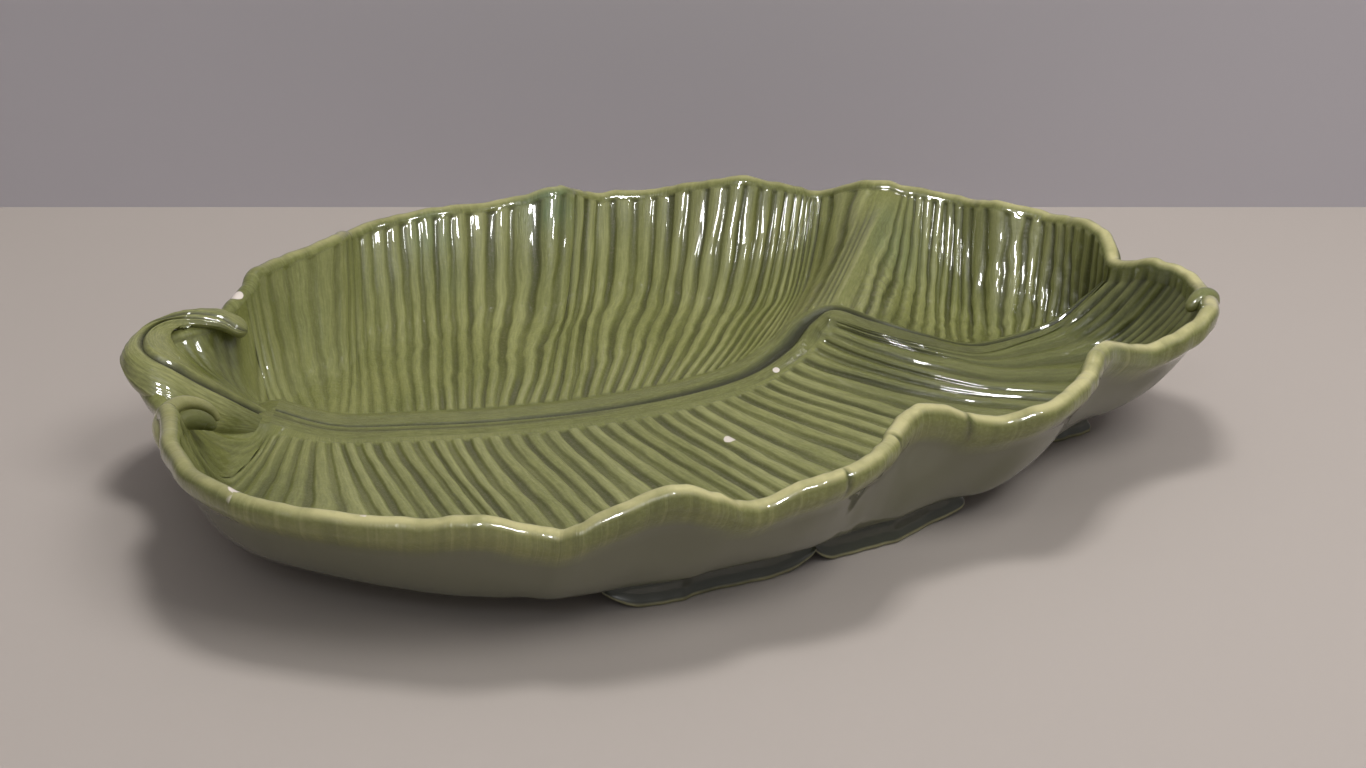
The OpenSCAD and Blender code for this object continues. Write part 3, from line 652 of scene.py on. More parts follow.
def divider_lift(points, lined):
    """Round crown of the divider, which fades out at the rim, the fine lines beside it, and its measures."""
    side, along = divider_places(points)
    body = step(-0.02, 0.16, along) * (1 - step(0.6, 0.95, along))
    window = step(LINES_FROM - 1, LINES_FROM, side) * (1 - step(LINES_TO - 2, LINES_TO, side)) * body
    line = 0.5 - 0.5 * np.cos(2 * math.pi * (side - LINES_FROM) / LINE_SPACING)
    lift = DIVIDER_CROWN * body * hump(side, 0, DIVIDER_HALF) + LINE_HEIGHT * window * (line - 0.5) * lined
    return lift, window * (1 - line) * lined, side, along


def back_block():
    """Back half of the leaf, from the midrib to the rim and up to the divider's crest."""
    band, dip, edge = band_rows(places, 1)
    ends = curve(BACK_END_SHARES, places)
    ramp = (step(RAMP_PLACE, JUNCTION, places) ** RAMP_POWER)[:, None]
    crest, _, out = rim = rim_at(ends)
    plain, away, reach = plain_section(edge, rim, FLOOR_ROWS_BACK, WALL_ROWS_BACK, ramp)
    lift, lines, side, along = divider_lift(plain, 1)
    plain[..., 2] += lift
    share = away / reach
    base = back_phase[:, None]
    # The ribs sway to the left between the floor and the wall
    kink = 0.8 * hump(places, 3.9, 1.3)[:, None] * (step(0.15, 0.6, share) - step(0.05, 0.95, share))
    phase = base + wander(base, share, 11, 0.22) + kink
    strength = step(LINES_TO - 5, LINES_TO - 1, side) * (0.4 + 0.6 * step(0.8, 3.0, places))[:, None]
    rows, pool, thin = ribbed(plain, phase, away, crest, 0.3, strength)
    crown = 1.1 * hump(side, 1.5, 5.5) * step(0.02, 0.12, along) * (1 - step(0.5, 0.9, along))
    inner = (rows, np.maximum(pool, 0.8 * lines), np.maximum(thin, crown), phase, away)
    close_block(band, dip, inner, plain, crest, out, ends, 0, True, places)


def fold_rows():
    """Places along the fold for each row of the front half, and how far the rows of its last section move to
    lie along the fold"""
    edge, _ = band_edge(np.array([float(JUNCTION)]), -1)
    end = np.array([float(NOTCH)])
    straight, away, reach = plain_section(edge, rim_at(end), FLOOR_ROWS_FRONT, WALL_ROWS_FRONT)
    line_places = JUNCTION + (LINE_END - JUNCTION) * (away / reach)[0]
    return line_places, band_edge(line_places, -1)[0] - straight[0]


fold_places, fold_shift = fold_rows()


def side_ends(at):
    """Share of the way from the junction to the line's end, and the places on the side bowl's rim."""
    v = (at - JUNCTION) / (LINE_END - JUNCTION)
    return v, curve(SIDE_END_SHARES, v * (len(SIDE_END_SHARES) - 1))


def bend_share(at):
    """Share of the fold's shift at places along the midrib."""
    return np.clip((at / JUNCTION - 1 + BEND_SHARE) / BEND_SHARE, 0, 1) ** 2


# Ribs of the tip lobe: how many, the rim place where they start, their lean, and how much more glaze pools
TIP_RIBS = 15
TIP_FROM = 23.4
TIP_LEAN = 2.0
TIP_POOL = 1.5
# Dents beside the tip's nub, as middle, radius and depth
TIP_DENTS = [(195.0, -64.0, 55.0, 5.5, 3.0), (183.0, -82.0, 53.0, 7.0, 3.0)]


def front_block():
    """Front half of the leaf with the tip lobe, whose ribs bend with the fold."""
    band, dip, edge = band_rows(places, -1)
    ends = curve(FRONT_END_SHARES, places)
    crest, _, out = rim = rim_at(ends)
    plain, away, reach = plain_section(edge, rim, FLOOR_ROWS_FRONT, WALL_ROWS_FRONT)
    plain = plain + fold_shift * bend_share(places)[:, None, None]
    share = away / reach
    start = (3.5 - 2.0 * step(5, 7, places) + 3.0 * step(7.2, 8.4, places))[:, None]
    base = front_phase[:, None]
    drift = wander(base, share, 21, 0.16) - 0.5 * np.exp(-away / 9)
    phase = base + drift * (1 - step(0.9, 1, front_phase / FRONT_RIBS))[:, None]
    strength = ((0.6 + 0.4 * step(0.2, 1.6, places)) * (1 - 0.5 * step(6.8, 8.4, places)))[:, None]
    rows, pool, thin = ribbed(plain, phase, away, crest, start, strength)
    tip_phase = (TIP_RIBS * (ends - TIP_FROM) / (NOTCH - TIP_FROM))[:, None] + TIP_LEAN * share
    tip_rows, tip_pool, tip_thin = ribbed(plain, tip_phase, away, crest, start, 1.0, -4)
    tip = step(0.70, 0.82, share) * step(23.5, 24.6, ends)[:, None]
    rows = rows + (tip_rows - rows) * tip[..., None]
    tip_pool = np.minimum(TIP_POOL * tip_pool, 1)
    pool, thin = pool + (tip_pool - pool) * tip, thin + (tip_thin - thin) * tip
    for x, y, z, radius, depth in TIP_DENTS:
        near = hump(np.linalg.norm(rows - np.array([x, y, z]), axis=-1), 0, radius)
        rows[..., 2] -= depth * near
        pool = np.maximum(pool, near)
    upright = (np.clip((places - UPRIGHT_PLACE) / (JUNCTION - UPRIGHT_PLACE), 0, 1) ** 2)[:, None]
    close_block(band, dip, (rows, pool, thin, phase, away), plain, crest, out, ends, upright, False, places)


def fold_block():
    """Front half of the band along the fold and the second midrib."""
    band, dip, _ = band_rows(fold_places, -1)
    for points, masks in band_parts(band, dip, fold_places):
        skin.append((points, masks, False))


# Height of the wrinkles at the foot of the divider
WRINKLE = 0.7


def side_block():
    """Side bowl, from the fold to the rim and up to the divider's crest."""
    band, dip, edge = band_rows(fold_places, 1)
    v, ends = side_ends(fold_places)
    ramp = ((1 - step(0.0, 0.42, v)) ** RAMP_POWER)[:, None]
    crest, _, out = rim = rim_at(ends)
    plain, away, reach = plain_section(edge, rim, FLOOR_ROWS_BACK, WALL_ROWS_BACK, ramp)
    lift, _, side, along = divider_lift(plain, 0)
    wrinkle = hump(side, 12, 8) * hump(along, 0.4, 0.3)
    x, y = plain[..., 0], plain[..., 1]
    rough = np.sin(0.9 * x + 0.7 * y + 2 * np.sin(0.21 * y))
    rough = rough * np.sin(0.5 * y - 0.4 * x + 1.5 * np.sin(0.3 * x))
    plain[..., 2] += lift + WRINKLE * wrinkle * rough
    share = away / reach
    base = (v * SIDE_RIBS)[:, None]
    phase = base + wander(base * 2, share, 31, 0.24)
    inner = (*ribbed(plain, phase, away, crest, 0.3, step(3.5, 6, side), -3), phase, away)
    close_block(band, dip, inner, plain, crest, out, ends, 0, True, fold_places)


# How far the stalk's lobe is drawn in and down under the stem
STALK_INSETS = [0, 4, 5, 5, 7, 9, 0]
STALK_DROPS = [0, 4, 5, 6, 9, 12, 0]
# Power of its rise, its folds as seed, cycles and height, and its grain's steps across the lobe
STALK_CURVE = 0.6
STALK_FOLDS = (41, (2, 3, 5, 7), 0.9)
STALK_GRAIN = 12


def stalk_block():
    """Lobe round the stalk's start, which climbs to a hollow inside the stem's hook."""
    w = np.linspace(0, 1, STALK_COLUMNS + 1)
    start = np.array([0.0])
    groove, back, behind, before = line_at(start)
    width = behind[0] * (1 - w) + before[0] * w
    angle = math.atan2(back[0, 1], back[0, 0]) + math.pi * w
    away = width[:, None] * np.array(BAND_ROWS)
    band = np.empty((len(w), len(BAND_ROWS), 3))
    band[..., 0] = groove[0, 0] + np.cos(angle)[:, None] * away
    band[..., 1] = groove[0, 1] + np.sin(angle)[:, None] * away
    behind_rows, before_rows = band_rows(start, 1)[0], band_rows(start, -1)[0]
    band[..., 2] = behind_rows[..., 2] * (1 - w)[:, None] + before_rows[..., 2] * w[:, None]
    edge = band[:, -1].copy()
    edge[:, 2] = groove[0, 2]
    ends = STALK_END_SHARES[0] + (STALK_END_SHARES[1] - STALK_END_SHARES[0]) * w
    crest, run, out = rim_at(ends)
    middle = np.sin(math.pi * w) ** 0.7
    knots = w * (len(STALK_DROPS) - 1)
    crest[:, :2] -= out * np.maximum(curve(STALK_INSETS, knots), 0)[:, None]
    crest[:, 2] -= np.maximum(curve(STALK_DROPS, knots), 0)
    plain, far, reach = plain_section(edge, (crest, run, out), FLOOR_ROWS_BACK, WALL_ROWS_BACK)
    low = edge[:, None, 2]
    shelf = low + ((crest[:, 2] - LIP)[:, None] - low) * np.clip(far / reach, 0, 1) ** STALK_CURVE
    plain[..., 2] += (shelf - plain[..., 2]) * (middle ** 2)[:, None]
    depth = crest[:, None, 2] - plain[..., 2]
    folds = waves(w[:, None] * 3 + far / 60, *STALK_FOLDS) * step(2, 9, far) * step(1, 8, depth)
    rows = plain + section_normals(plain) * folds[..., None]
    pool = 0.7 * step(0.1, 0.6, -folds)
    inner = (rows, pool, 0 * pool, STALK_GRAIN * w[:, None], far)
    dip = np.zeros(band.shape[:2])
    close_block(band, dip, inner, plain, crest, out, ends, 0, False, np.zeros(len(w)))


back_block()
front_block()
fold_block()
side_block()
stalk_block()
dish = skin_piece("dish")


# Stem: its groove, its outer contour and its inner edge, from the midrib up and round the hook to its end
STEM_GROOVE = [
    [-123.8, 33, 8.5], [-142.8, 36.8, 14], [-156.8, 40, 23.5], [-167.8, 39.6, 32.5], [-178.8, 38.6, 41.5],
    [-187.8, 40.3, 48.5], [-194.3, 44, 52.3], [-196.4, 51, 54], [-193.3, 63, 54.2], [-185.8, 72, 53.5],
    [-177.6, 75, 52.5], [-169.8, 74, 51.5], [-162.8, 71.5, 50], [-158, 69.5, 47],
]
STEM_CONTOUR = [
    [-125, 29, 6.6], [-145.8, 33, 11.8], [-162, 33.8, 19.5], [-177, 29, 26.5], [-188.8, 26, 35],
    [-198.3, 31, 42.5], [-204.4, 41, 46.5], [-204.8, 52, 50], [-198.8, 61.5, 53.3], [-190.8, 71, 54.5],
    [-178.8, 79, 54], [-169.3, 81.3, 53], [-160.8, 81, 51.5], [-154, 79, 48],
]
STEM_INNER = [
    [-121.8, 40, 7.5], [-137.8, 45.5, 11.5], [-150.8, 51, 18], [-161.8, 53, 25.5], [-170.8, 52, 34],
    [-177.6, 52.7, 41], [-181.8, 56.5, 46.5], [-183.4, 62, 49], [-183, 66.5, 50.5], [-180.3, 69, 51.5],
    [-177, 71, 51.5], [-170.6, 71, 50.5], [-164, 69, 49], [-159, 68, 46],
]
# Swell of the outer strip and of the inner one, where the second groove runs between groove and contour,
# and half the width of the main groove
STEM_OUTER_SWELL = [0.5, 1, 1.5, 2, 2.5, 3.2, 3.6, 3, 1.6, 1, 0.9, 0.9, 0.9, 0.9]
STEM_INNER_SWELL = [0.5, 1, 1.2, 1.4, 1.6, 1.9, 1.8, 1.4, 1, 0.9, 0.8, 0.8, 0.8, 0.8]
STEM_SECOND = [1, 1, 1, 1, 1, 1, 1, 0.98, 0.9, 0.72, 0.6, 0.5, 0.35, 0.2]
STEM_GROOVE_WIDTH = [0.8, 1.0, 1.2, 1.5, 1.9, 1.7, 1.2, 1.0, 0.9, 0.9, 0.9, 0.8, 0.7, 0.5]
# Depths of those grooves, and height and spacing of the fine lines beside them
STEM_DEPTH = 1.4
STEM_SECOND_DEPTH = 1.2
STEM_LINE = 0.07
STEM_LINE_SPACING = 1.9
# Steps along the stem, across a strip and round its end; the end's length, the outer side's radius, the
# turn of the rows that take it under, and the skirt below the inner edge
STEM_STEPS = 420
STEM_STRIP = 34
STEM_END_STEPS = 26
STEM_END = 5.0
STEM_RADIUS = 5.0
STEM_UNDER = np.linspace(0, 125, 16)[1:]
STEM_SKIRT = 7.0
# Grain of the stem's glaze: steps across it and along one point of its tables
STEM_GRAIN = (5, 1.2)


def stem_piece():
    """Stem of the leaf: the midrib's end that climbs the wall, hooks back and ends in a roll."""
    t = np.linspace(0, len(STEM_GROOVE) - 1, STEM_STEPS)
    groove, contour, inner = curve(STEM_GROOVE, t), curve(STEM_CONTOUR, t), curve(STEM_INNER, t)
    half = curve(STEM_GROOVE_WIDTH, t)[:, None]
    along = unit(np.gradient(groove, axis=0))
    f = np.linspace(0, 1, STEM_STRIP)[None, :]

    def strip(edge, swell, seed):
        way = edge - groove
        normal = unit(np.cross(way, along))
        normal *= np.sign(normal[:, 2:])
        far = f * np.linalg.norm(way, axis=1)[:, None]
        dip = np.exp(-(far / half) ** 4)
        sway = 1.2 * np.sin(t[:, None] * 1.7 + seed)
        lines = STEM_LINE * np.sin(far * 2 * math.pi / STEM_LINE_SPACING + sway)
        high = curve(swell, t)[:, None] * np.sin(math.pi * np.minimum(f, 0.96)) ** 0.7 + lines
        return way, normal, far, dip, high - STEM_DEPTH * dip

    def surface(way, normal, high):
        return groove[:, None] + way[:, None] * f[..., None] + normal[:, None] * high[..., None]

    way, normal, far, dip, high = strip(inner, STEM_INNER_SWELL, 1)
    inside = surface(way, normal, high + 0.9 * hump(far, half + 1.3, 0.9))[:, ::-1]
    inside_dip = dip[:, ::-1]
    way, normal, far, dip, high = strip(contour, STEM_OUTER_SWELL, 2)
    second = curve(STEM_SECOND, t)[:, None] * np.linalg.norm(way, axis=1)[:, None]
    cut = hump(far, second, 0.9) * step(7.0, 8.2, t)[:, None]
    outside = surface(way, normal, high - STEM_SECOND_DEPTH * cut)
    level = unit(way * [1, 1, 0])
    turn = np.radians(STEM_UNDER)[None, :, None]
    radius = (STEM_RADIUS + 2.0 * hump(t, 5, 1.8))[:, None, None]
    under = contour[:, None] - radius * (level[:, None] * (1 - np.cos(turn)) + UP * np.sin(turn))
    late = step(6, 9, t)[:, None]
    low = inner + (groove - inner) * 0.4 * late - UP * STEM_SKIRT * (1 - 0.7 * late)
    rows = np.concatenate([low[:, None], inside, outside[:, 1:], under], axis=1)
    pools = np.concatenate([0 * dip[:, :1], inside_dip, np.maximum(dip, 0.8 * cut)[:, 1:],
                            np.zeros((len(t), under.shape[1]))], axis=1)
    middle = (contour + inner) / 2
    tail = rows[-1] - middle[-1]
    x = np.linspace(0, 1, STEM_END_STEPS)[1:, None, None]
    caps = middle[-1] + tail * np.sqrt(1 - x * x) + along[-1] * STEM_END * x
    rows = np.concatenate([rows, caps])
    pools = np.concatenate([pools, np.repeat(pools[-1:], len(caps), axis=0)])
    across = np.linspace(0, STEM_GRAIN[0], rows.shape[1])[None, :]
    along = STEM_GRAIN[1] * np.r_[t, np.full(len(caps), t[-1])][:, None]
    # The stem's root is darkened by the same multiply as the painted shade, so that it runs into the band's
    # darker tone
    root = np.r_[1.2 * (1 - step(1.0, 4.2, t)), np.zeros(len(caps))][:, None]
    return grid_piece("stem", rows, masks_of(rows, pool=pools, band=1, shade_and_root=root, across=across, along=along))


# Steps along a roll and round it
ROLL_STEPS = 90
ROLL_SIDES = 28


def roll(name, path, radii, masks):
    """Round roll along a smooth path, with a rounded end at each side."""
    t = np.linspace(0, len(path) - 1, ROLL_STEPS)
    middle, radius = curve(path, t), curve(radii, t)
    along = unit(np.gradient(middle, axis=0))
    side = unit(np.cross(along, UP))
    up = np.cross(side, along)
    length = np.r_[0, np.cumsum(np.linalg.norm(np.diff(middle, axis=0), axis=1))]
    near = np.minimum(length, length[-1] - length)
    end = np.sqrt(np.clip(1 - (1 - np.clip(near / radius, 0, 1)) ** 2, 0, 1))
    turn = np.linspace(0, 2 * math.pi, ROLL_SIDES, endpoint=False)
    ring = side[:, None] * np.cos(turn)[None, :, None] + up[:, None] * np.sin(turn)[None, :, None]
    points = middle[:, None] + ring * (radius * end)[:, None, None]
    return grid_piece(name, points, masks_of(points, **masks))


stem = stem_piece()
ear = roll("front_ear", [
    [-202.8, -24, 47], [-202.4, -14, 47.6], [-200.9, -5, 48], [-197, 4, 48.2], [-191.5, 9.5, 47.6],
    [-185.5, 11.5, 45.5], [-181, 10.8, 42.5], [-178.5, 9.5, 38],
], [2.8, 3.5, 3.5, 3.2, 2.8, 2.3, 1.9, 1.2], {"cream": 0.5})
ear_fold = roll("ear_fold", [
    [-197.5, -4, 43], [-193.5, 2, 43.5], [-188.5, 5, 42.5], [-184, 5, 40.5], [-181, 3, 38],
], [1.5, 3.2, 3.8, 3.2, 1.5], {"band": 1})
nub = roll("tip_nub", [
    [184.5, -78.5, 53], [188.5, -78, 56], [192.5, -77.6, 57.2], [196.5, -77.5, 56],
    [199, -77.6, 52],
], [1.8, 3.2, 3.8, 3.4, 1.8], {"cream": 0.35})


# Feet: line places under the floor's edge that each lobe runs through, its side of the line, its inset,
# and whether its first and last ends run into the next lobe
FEET = [
    ("foot_front", -1, (2.72, 3.25, 3.76, 4.33), -4, False, True),
    ("foot_side", -1, (4.33, 4.7, 5.1, 5.65), -3, True, False),
    ("foot_tip", -1, (6.8, 7.3, 7.7), 6, False, False),
    ("foot_stalk", -1, (0.62, 1.3, 1.93), 12, False, False),
    ("foot_bowl", 1, (14.05, 12.75, 11.58), 2, False, False),
    ("foot_back", 1, (5.48, 4.2, 2.92), 12, False, False),
]
# Section of a foot: way outwards from the floor's edge, and height, from the outside down and round
FOOT_SECTION = [
    [-1, 10], [-0.2, 8.2], [0.3, 6.6], [0.6, 5.2], [1, 3.8], [1.7, 2.4], [2.3, 1.3], [2.3, 0.5],
    [1.2, 0], [-1.8, 0], [-3.8, 0.2], [-4.8, 1], [-5.4, 2.6], [-5.7, 5], [-5.8, 7.5], [-5.8, 10],
]
# Points of the section where the glaze breaks pale
FOOT_EDGE = slice(6, 8)
FOOT_PALE = 0.5
# Height of the section, share of a lobe that each end takes, its rise as an arch and at its tip, and its
# turn inwards
FOOT_STEPS = 120
FOOT_HEIGHT = 10.0
FOOT_END = 0.22
FOOT_ARCH = 5.0
FOOT_TIP = 2
FOOT_TURN = 10.0


def floor_edge(side, at):
    """Where the floor runs into the wall on one side of the main line, and the way outwards there."""
    if side > 0 and at.mean() > JUNCTION:
        _, ends = side_ends(at)
    else:
        ends = curve(FRONT_END_SHARES if side < 0 else BACK_END_SHARES, at)
    edge, _ = band_edge(at, side)
    plan = plain_section(edge, rim_at(ends), 1, 1)[0][..., :2]
    point = plan[:, 1].copy()
    way = unit(plan[:, 2] - plan[:, 1])
    if side < 0:
        point += fold_shift[FLOOR_ROWS_FRONT, :2] * bend_share(at)[:, None]
    return point, way


def foot_piece(name, side, at, inset, arched_first, arched_last):
    """One lobe of the foot, rounded to the table and turned in or arched at its ends."""
    x = np.linspace(0, 1, FOOT_STEPS)
    point, way = floor_edge(side, curve(at, x * (len(at) - 1)))
    first, last = np.clip(1 - x / FOOT_END, 0, 1), np.clip(1 - (1 - x) / FOOT_END, 0, 1)
    turned = FOOT_TURN * (first ** 3 * (not arched_first) + last ** 3 * (not arched_last))
    lift = FOOT_ARCH * (step(0, 1, first) + step(0, 1, last)) + FOOT_TIP * (first ** 6 + last ** 6)
    section = np.array(FOOT_SECTION)
    outwards = section[None, :, 0] - inset - turned[:, None]
    height = section[None, :, 1] * (1 - lift[:, None] / FOOT_HEIGHT) + lift[:, None]
    rows = np.empty((FOOT_STEPS, len(section), 3))
    rows[..., :2] = point[:, None] + way[:, None] * outwards[..., None]
    rows[..., 2] = height
    rim = np.zeros(len(section))
    rim[FOOT_EDGE] = FOOT_PALE
    return grid_piece(name + "_lobe", rows, masks_of(rows, outer=1, cream=rim))


feet = [foot_piece(*foot) for foot in FEET]


def fill(made, sockets):
    """Gives a node's sockets their values."""
    for socket, value in sockets.items():
        made.inputs[socket].default_value = value
    return made


def new_material(name):
    material = bpy.data.materials.new(name)
    material.use_nodes = True
    return material, material.node_tree.nodes["Principled BSDF"]


def node(tree, kind, **values):
    made = tree.nodes.new(kind)
    for name, value in values.items():
        setattr(made, name, value)
    return made


# Colours of the glaze as it breaks and pools, in linear light
DEEP = (0.155, 0.169, 0.040)
LIGHT = (0.240, 0.248, 0.076)
THIN = (0.38, 0.385, 0.160)
POOLED = (0.062, 0.068, 0.014)
SPECKLE = (0.150, 0.130, 0.085)
GROOVE_TONE = (0.024, 0.026, 0.008)
STEM_TONE = (0.31, 0.315, 0.115)
MIDRIB_TONE = (0.165, 0.173, 0.050)
# Factor by which the painted shade darkens the hollows, also used on the stem's root
SHADE = (0.52, 0.54, 0.45)
CREAM = (0.56, 0.52, 0.25)
OUTSIDE = (0.146, 0.146, 0.090)
# Outside tone of the feet: far darker than the outside's glaze, painted contact shade under the dish
FOOT_PAINTED_SHADE = (0.028, 0.031, 0.014)
CLAY = (0.80, 0.72, 0.64)
TEAL = (0.13, 0.22, 0.12)
WARM = (0.175, 0.150, 0.070)
# Gloss of the glaze under its clear coat, and the relief of its grain and of the coat
GLOSS = {"Roughness": 0.35, "Specular IOR Level": 0.25, "IOR": 1.45, "Coat Weight": 1.0,
         "Coat Roughness": 0.04}
GRAIN_BUMP = {"Strength": 0.5, "Distance": 0.0008}
COAT_BUMP = {"Strength": 0.08, "Distance": 0.0003}


def glaze(name, tone, outside=OUTSIDE):
    """Glossy green glaze that pools darker in the grooves and breaks pale on the lip and the ribs."""
    material, shader = new_material(name)
    tree = material.node_tree
    link = tree.links.new
    place = node(tree, "ShaderNodeTexCoord").outputs["Object"]

    def noise(scale, detail, rough=0.5, at=place):
        made = node(tree, "ShaderNodeTexNoise")
        fill(made, {"Scale": scale, "Detail": detail, "Roughness": rough})
        link(at, made.inputs["Vector"])
        return made.outputs["Fac"]

    def ramp(value, low, high):
        made = node(tree, "ShaderNodeMapRange", clamp=True)
        fill(made, {"From Min": low, "From Max": high})
        link(value, made.inputs["Value"])
        return made.outputs["Result"]

    def times(a, b):
        made = node(tree, "ShaderNodeMath", operation="MULTIPLY", use_clamp=True)
        link(a, made.inputs[0])
        if isinstance(b, float):
            made.inputs[1].default_value = b
        else:
            link(b, made.inputs[1])
        return made.outputs[0]

    def mix(share, a, b, blend="MIX"):
        made = node(tree, "ShaderNodeMix", data_type="RGBA", blend_type=blend)
        link(share, made.inputs["Factor"])
        for side, socket in ((a, made.inputs[6]), (b, made.inputs[7])):
            if isinstance(side, tuple):
                socket.default_value = (*side, 1)
            else:
                link(side, socket)
        return made.outputs[2]

    def mask(name):
        return node(tree, "ShaderNodeAttribute", attribute_name=name).outputs["Fac"]

    def grain_noise(across, along, detail):
        pair = node(tree, "ShaderNodeCombineXYZ")
        link(mask("across"), pair.inputs[0])
        link(mask("along"), pair.inputs[1])
        scaled = node(tree, "ShaderNodeVectorMath", operation="MULTIPLY")
        link(pair.outputs[0], scaled.inputs[0])
        scaled.inputs[1].default_value = (across, along, 1)
        return noise(1, detail, at=scaled.outputs[0])

    cloud = ramp(noise(26, 4), 0.35, 0.68)
    grain = ramp(noise(700, 3, 0.7), 0.42, 0.66)
    fleck = ramp(noise(1100, 2, 0.8), 0.52, 0.66)
    streak = ramp(grain_noise(9, 1.1, 3), 0.38, 0.64)
    hair = grain_noise(22, 3, 3)
    band = mix(times(ramp(hair, 0.5, 0.7), 0.4), mix(times(streak, 0.45), tone, POOLED), THIN)
    # Coats from the lowest to the top, each as its share, its tone and its blend
    coats = [
        (times(grain, 0.2), THIN),
        (times(mask("warm"), 0.65), WARM),
        (times(mask("teal"), times(cloud, 0.8)), TEAL),
        # Thin glaze on the ribs, with the painted highlight along one side of each groove
        (times(mask("thin"), 0.65), THIN),
        (times(streak, 0.3), POOLED),
        (times(ramp(hair, 0.55, 0.72), 0.35), THIN),
        (times(mask("pool"), 0.92), mix(times(fleck, 0.55), POOLED, SPECKLE)),
        (times(mask("band"), ramp(noise(90, 4), 0.2, 0.6)), band),
        (times(mask("band"), times(mask("pool"), 0.95)), GROOVE_TONE),
        # Painted shade in the hollows, and the stem's root darkened towards the band's tone
        (times(mask("shade_and_root"), 0.85), SHADE, "MULTIPLY"),
        (mask("outer"), outside),
        (times(ramp(mask("cream"), 0.25, 0.9), ramp(noise(75, 5), 0.15, 0.55)), CREAM),
        (ramp(mask("chip"), 0.4, 0.6), CLAY),
    ]
    color = mix(cloud, DEEP, LIGHT)
    for share, *coat in coats:
        color = mix(share, color, *coat)
    link(color, shader.inputs["Base Color"])
    fill(shader, GLOSS)
    bump = fill(node(tree, "ShaderNodeBump"), GRAIN_BUMP)
    rough = node(tree, "ShaderNodeMath", operation="MULTIPLY_ADD")
    link(hair, rough.inputs[0])
    rough.inputs[1].default_value = 0.5
    link(times(noise(520, 4, 0.6), 0.5), rough.inputs[2])
    link(times(rough.outputs[0], ramp(mask("outer"), 1, 0)), bump.inputs["Height"])
    link(bump.outputs["Normal"], shader.inputs["Normal"])
    soft = fill(node(tree, "ShaderNodeBump"), COAT_BUMP)
    link(noise(210, 2), soft.inputs["Height"])
    link(soft.outputs["Normal"], shader.inputs["Coat Normal"])
    return material


def dress(piece, material, slot, *nodes):
    """Gives a piece its material and its body, and hides the model's nodes that it stands for. The slot is
    not used.
    """
    piece.data.materials.append(material)
    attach(piece, "root")
    if nodes:
        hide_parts(*nodes)


leaf_glaze = glaze("leaf_glaze", MIDRIB_TONE)
rib_glaze = glaze("rib_glaze", STEM_TONE)
# The feet take the painted contact shade as their outside's tone
foot_glaze = glaze("foot_glaze", STEM_TONE, FOOT_PAINTED_SHADE)
dress(dish, leaf_glaze, "leaf_glaze", "back_leaf", "front_leaf", "side_leaf", "divider", "midrib", "fold_rib",
      "side_midrib", "stalk")
dress(stem, rib_glaze, "rib_glaze", "stalk_curl")
for extra in (ear, ear_fold, nub):
    dress(extra, leaf_glaze, "leaf_glaze")
for (name, *_), foot in zip(FEET, feet):
    dress(foot, foot_glaze, "foot_glaze", name)


def plain_material(name, color, roughness):
    material, shader = new_material(name)
    fill(shader, {"Base Color": (*color, 1), "Roughness": roughness})
    return material


def one_sided(material):
    """Makes a material see-through from behind, so that the stage hides nothing in other views."""
    tree = material.node_tree
    shader, end = tree.nodes["Principled BSDF"], tree.nodes["Material Output"]
    choice = node(tree, "ShaderNodeMixShader")
    facing = node(tree, "ShaderNodeNewGeometry").outputs["Backfacing"]
    clear = node(tree, "ShaderNodeBsdfTransparent").outputs[0]
    for socket, source in enumerate((facing, shader.outputs[0], clear)):
        tree.links.new(source, choice.inputs[socket])
    tree.links.new(choice.outputs[0], end.inputs["Surface"])
    return material


def plane(name, corners, material):
    mesh = bpy.data.meshes.new(name)
    mesh.from_pydata(corners, [], [(0, 1, 2, 3)])
    mesh.materials.append(material)
    piece = placed(name, mesh)


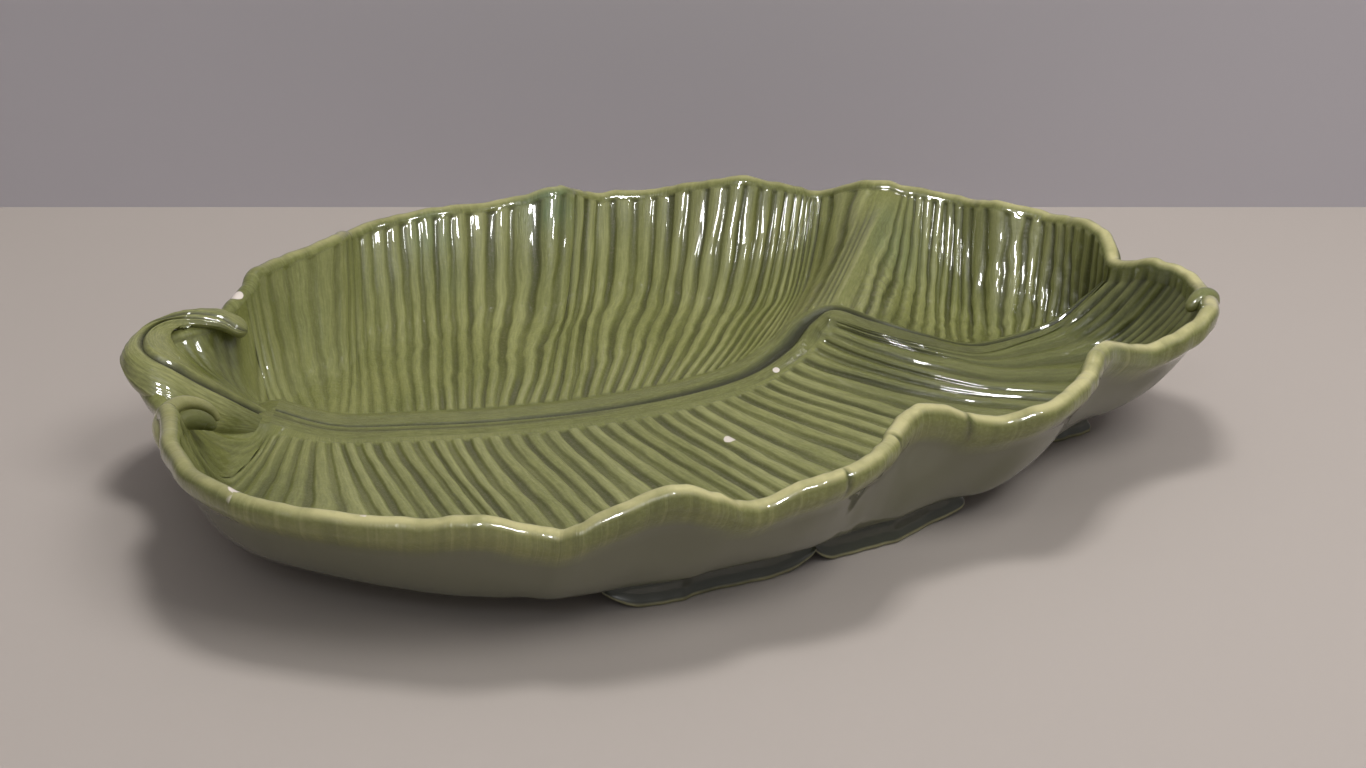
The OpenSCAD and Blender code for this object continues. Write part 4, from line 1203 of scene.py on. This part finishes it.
# Camera: fitted to the photograph, 25 degrees down and 24 degrees round from the dish's width
CAMERA_PLACE = (-304.3, -690.8, 375.0)
CAMERA_DOWN = 25
CAMERA_TURN = 24
SENSOR = 36.0
FOCAL_PIXELS = 2100
IMAGE_WIDTH = 1366
camera = placed("camera", bpy.data.cameras.new("camera"))
camera.data.sensor_width = SENSOR
camera.data.lens = FOCAL_PIXELS / IMAGE_WIDTH * SENSOR
camera.data.clip_start = 0.01
camera.location = [v * MM for v in CAMERA_PLACE]
camera.rotation_euler = (math.radians(90 - CAMERA_DOWN), 0, math.radians(-CAMERA_TURN))
bpy.context.scene.camera = camera

# Stage: a pale floor that ends at a backdrop across the camera's view
BACKDROP_FAR = 1.02
BACKDROP_HALF = 2.5
FLOOR_HALF = 3.0
FLOOR_DROP = 0.0001
FLOOR_TONE = (0.455, 0.405, 0.366)
BACKDROP_TONE = (0.47, 0.44, 0.47)
turn = math.radians(CAMERA_TURN)
ahead = Vector((math.sin(turn), math.cos(turn), 0))
aside = Vector((math.cos(turn), -math.sin(turn), 0))
foot_of_wall = Vector((camera.location.x, camera.location.y, 0)) + ahead * BACKDROP_FAR
left, right = foot_of_wall - aside * BACKDROP_HALF, foot_of_wall + aside * BACKDROP_HALF
high = Vector((0, 0, BACKDROP_HALF))
size, low = FLOOR_HALF, -FLOOR_DROP
plane("floor", [(-size, -size, low), (size, -size, low), (size, size, low), (-size, size, low)],
      one_sided(plain_material("floor", FLOOR_TONE, 0.7)))
plane("backdrop", [left, right, right + high, left + high],
      one_sided(plain_material("backdrop", BACKDROP_TONE, 0.8)))


def area(name, place, size, power, window):
    """Rectangular lamp that looks at the dish: a window only gives highlights, any other only soft light."""
    light = bpy.data.lights.new(name, "AREA")
    light.shape = "RECTANGLE"
    light.size, light.size_y = size
    light.energy = power
    lamp = placed(name, light)
    lamp.location = place
    lamp.rotation_euler = (-Vector(place)).to_track_quat("-Z", "Y").to_euler()
    lamp.visible_glossy = window
    lamp.visible_diffuse = not window


area("key", (0.12, 0.10, 1.3), (0.3, 0.3), 8, False)
area("fill", (0.50, -0.75, 1.3), (0.8, 0.6), 9, False)
area("window_a", (-0.55, -1.10, 1.06), (0.28, 0.26), 28, True)
area("window_b", (0.15, -1.15, 1.15), (0.16, 0.20), 7, True)
world = bpy.data.worlds.new("world")
world.use_nodes = True
fill(world.node_tree.nodes["Background"], {"Color": (0.82, 0.80, 0.80, 1), "Strength": 0.40})
bpy.context.scene.world = world
bpy.context.scene.view_settings.view_transform = "Standard"
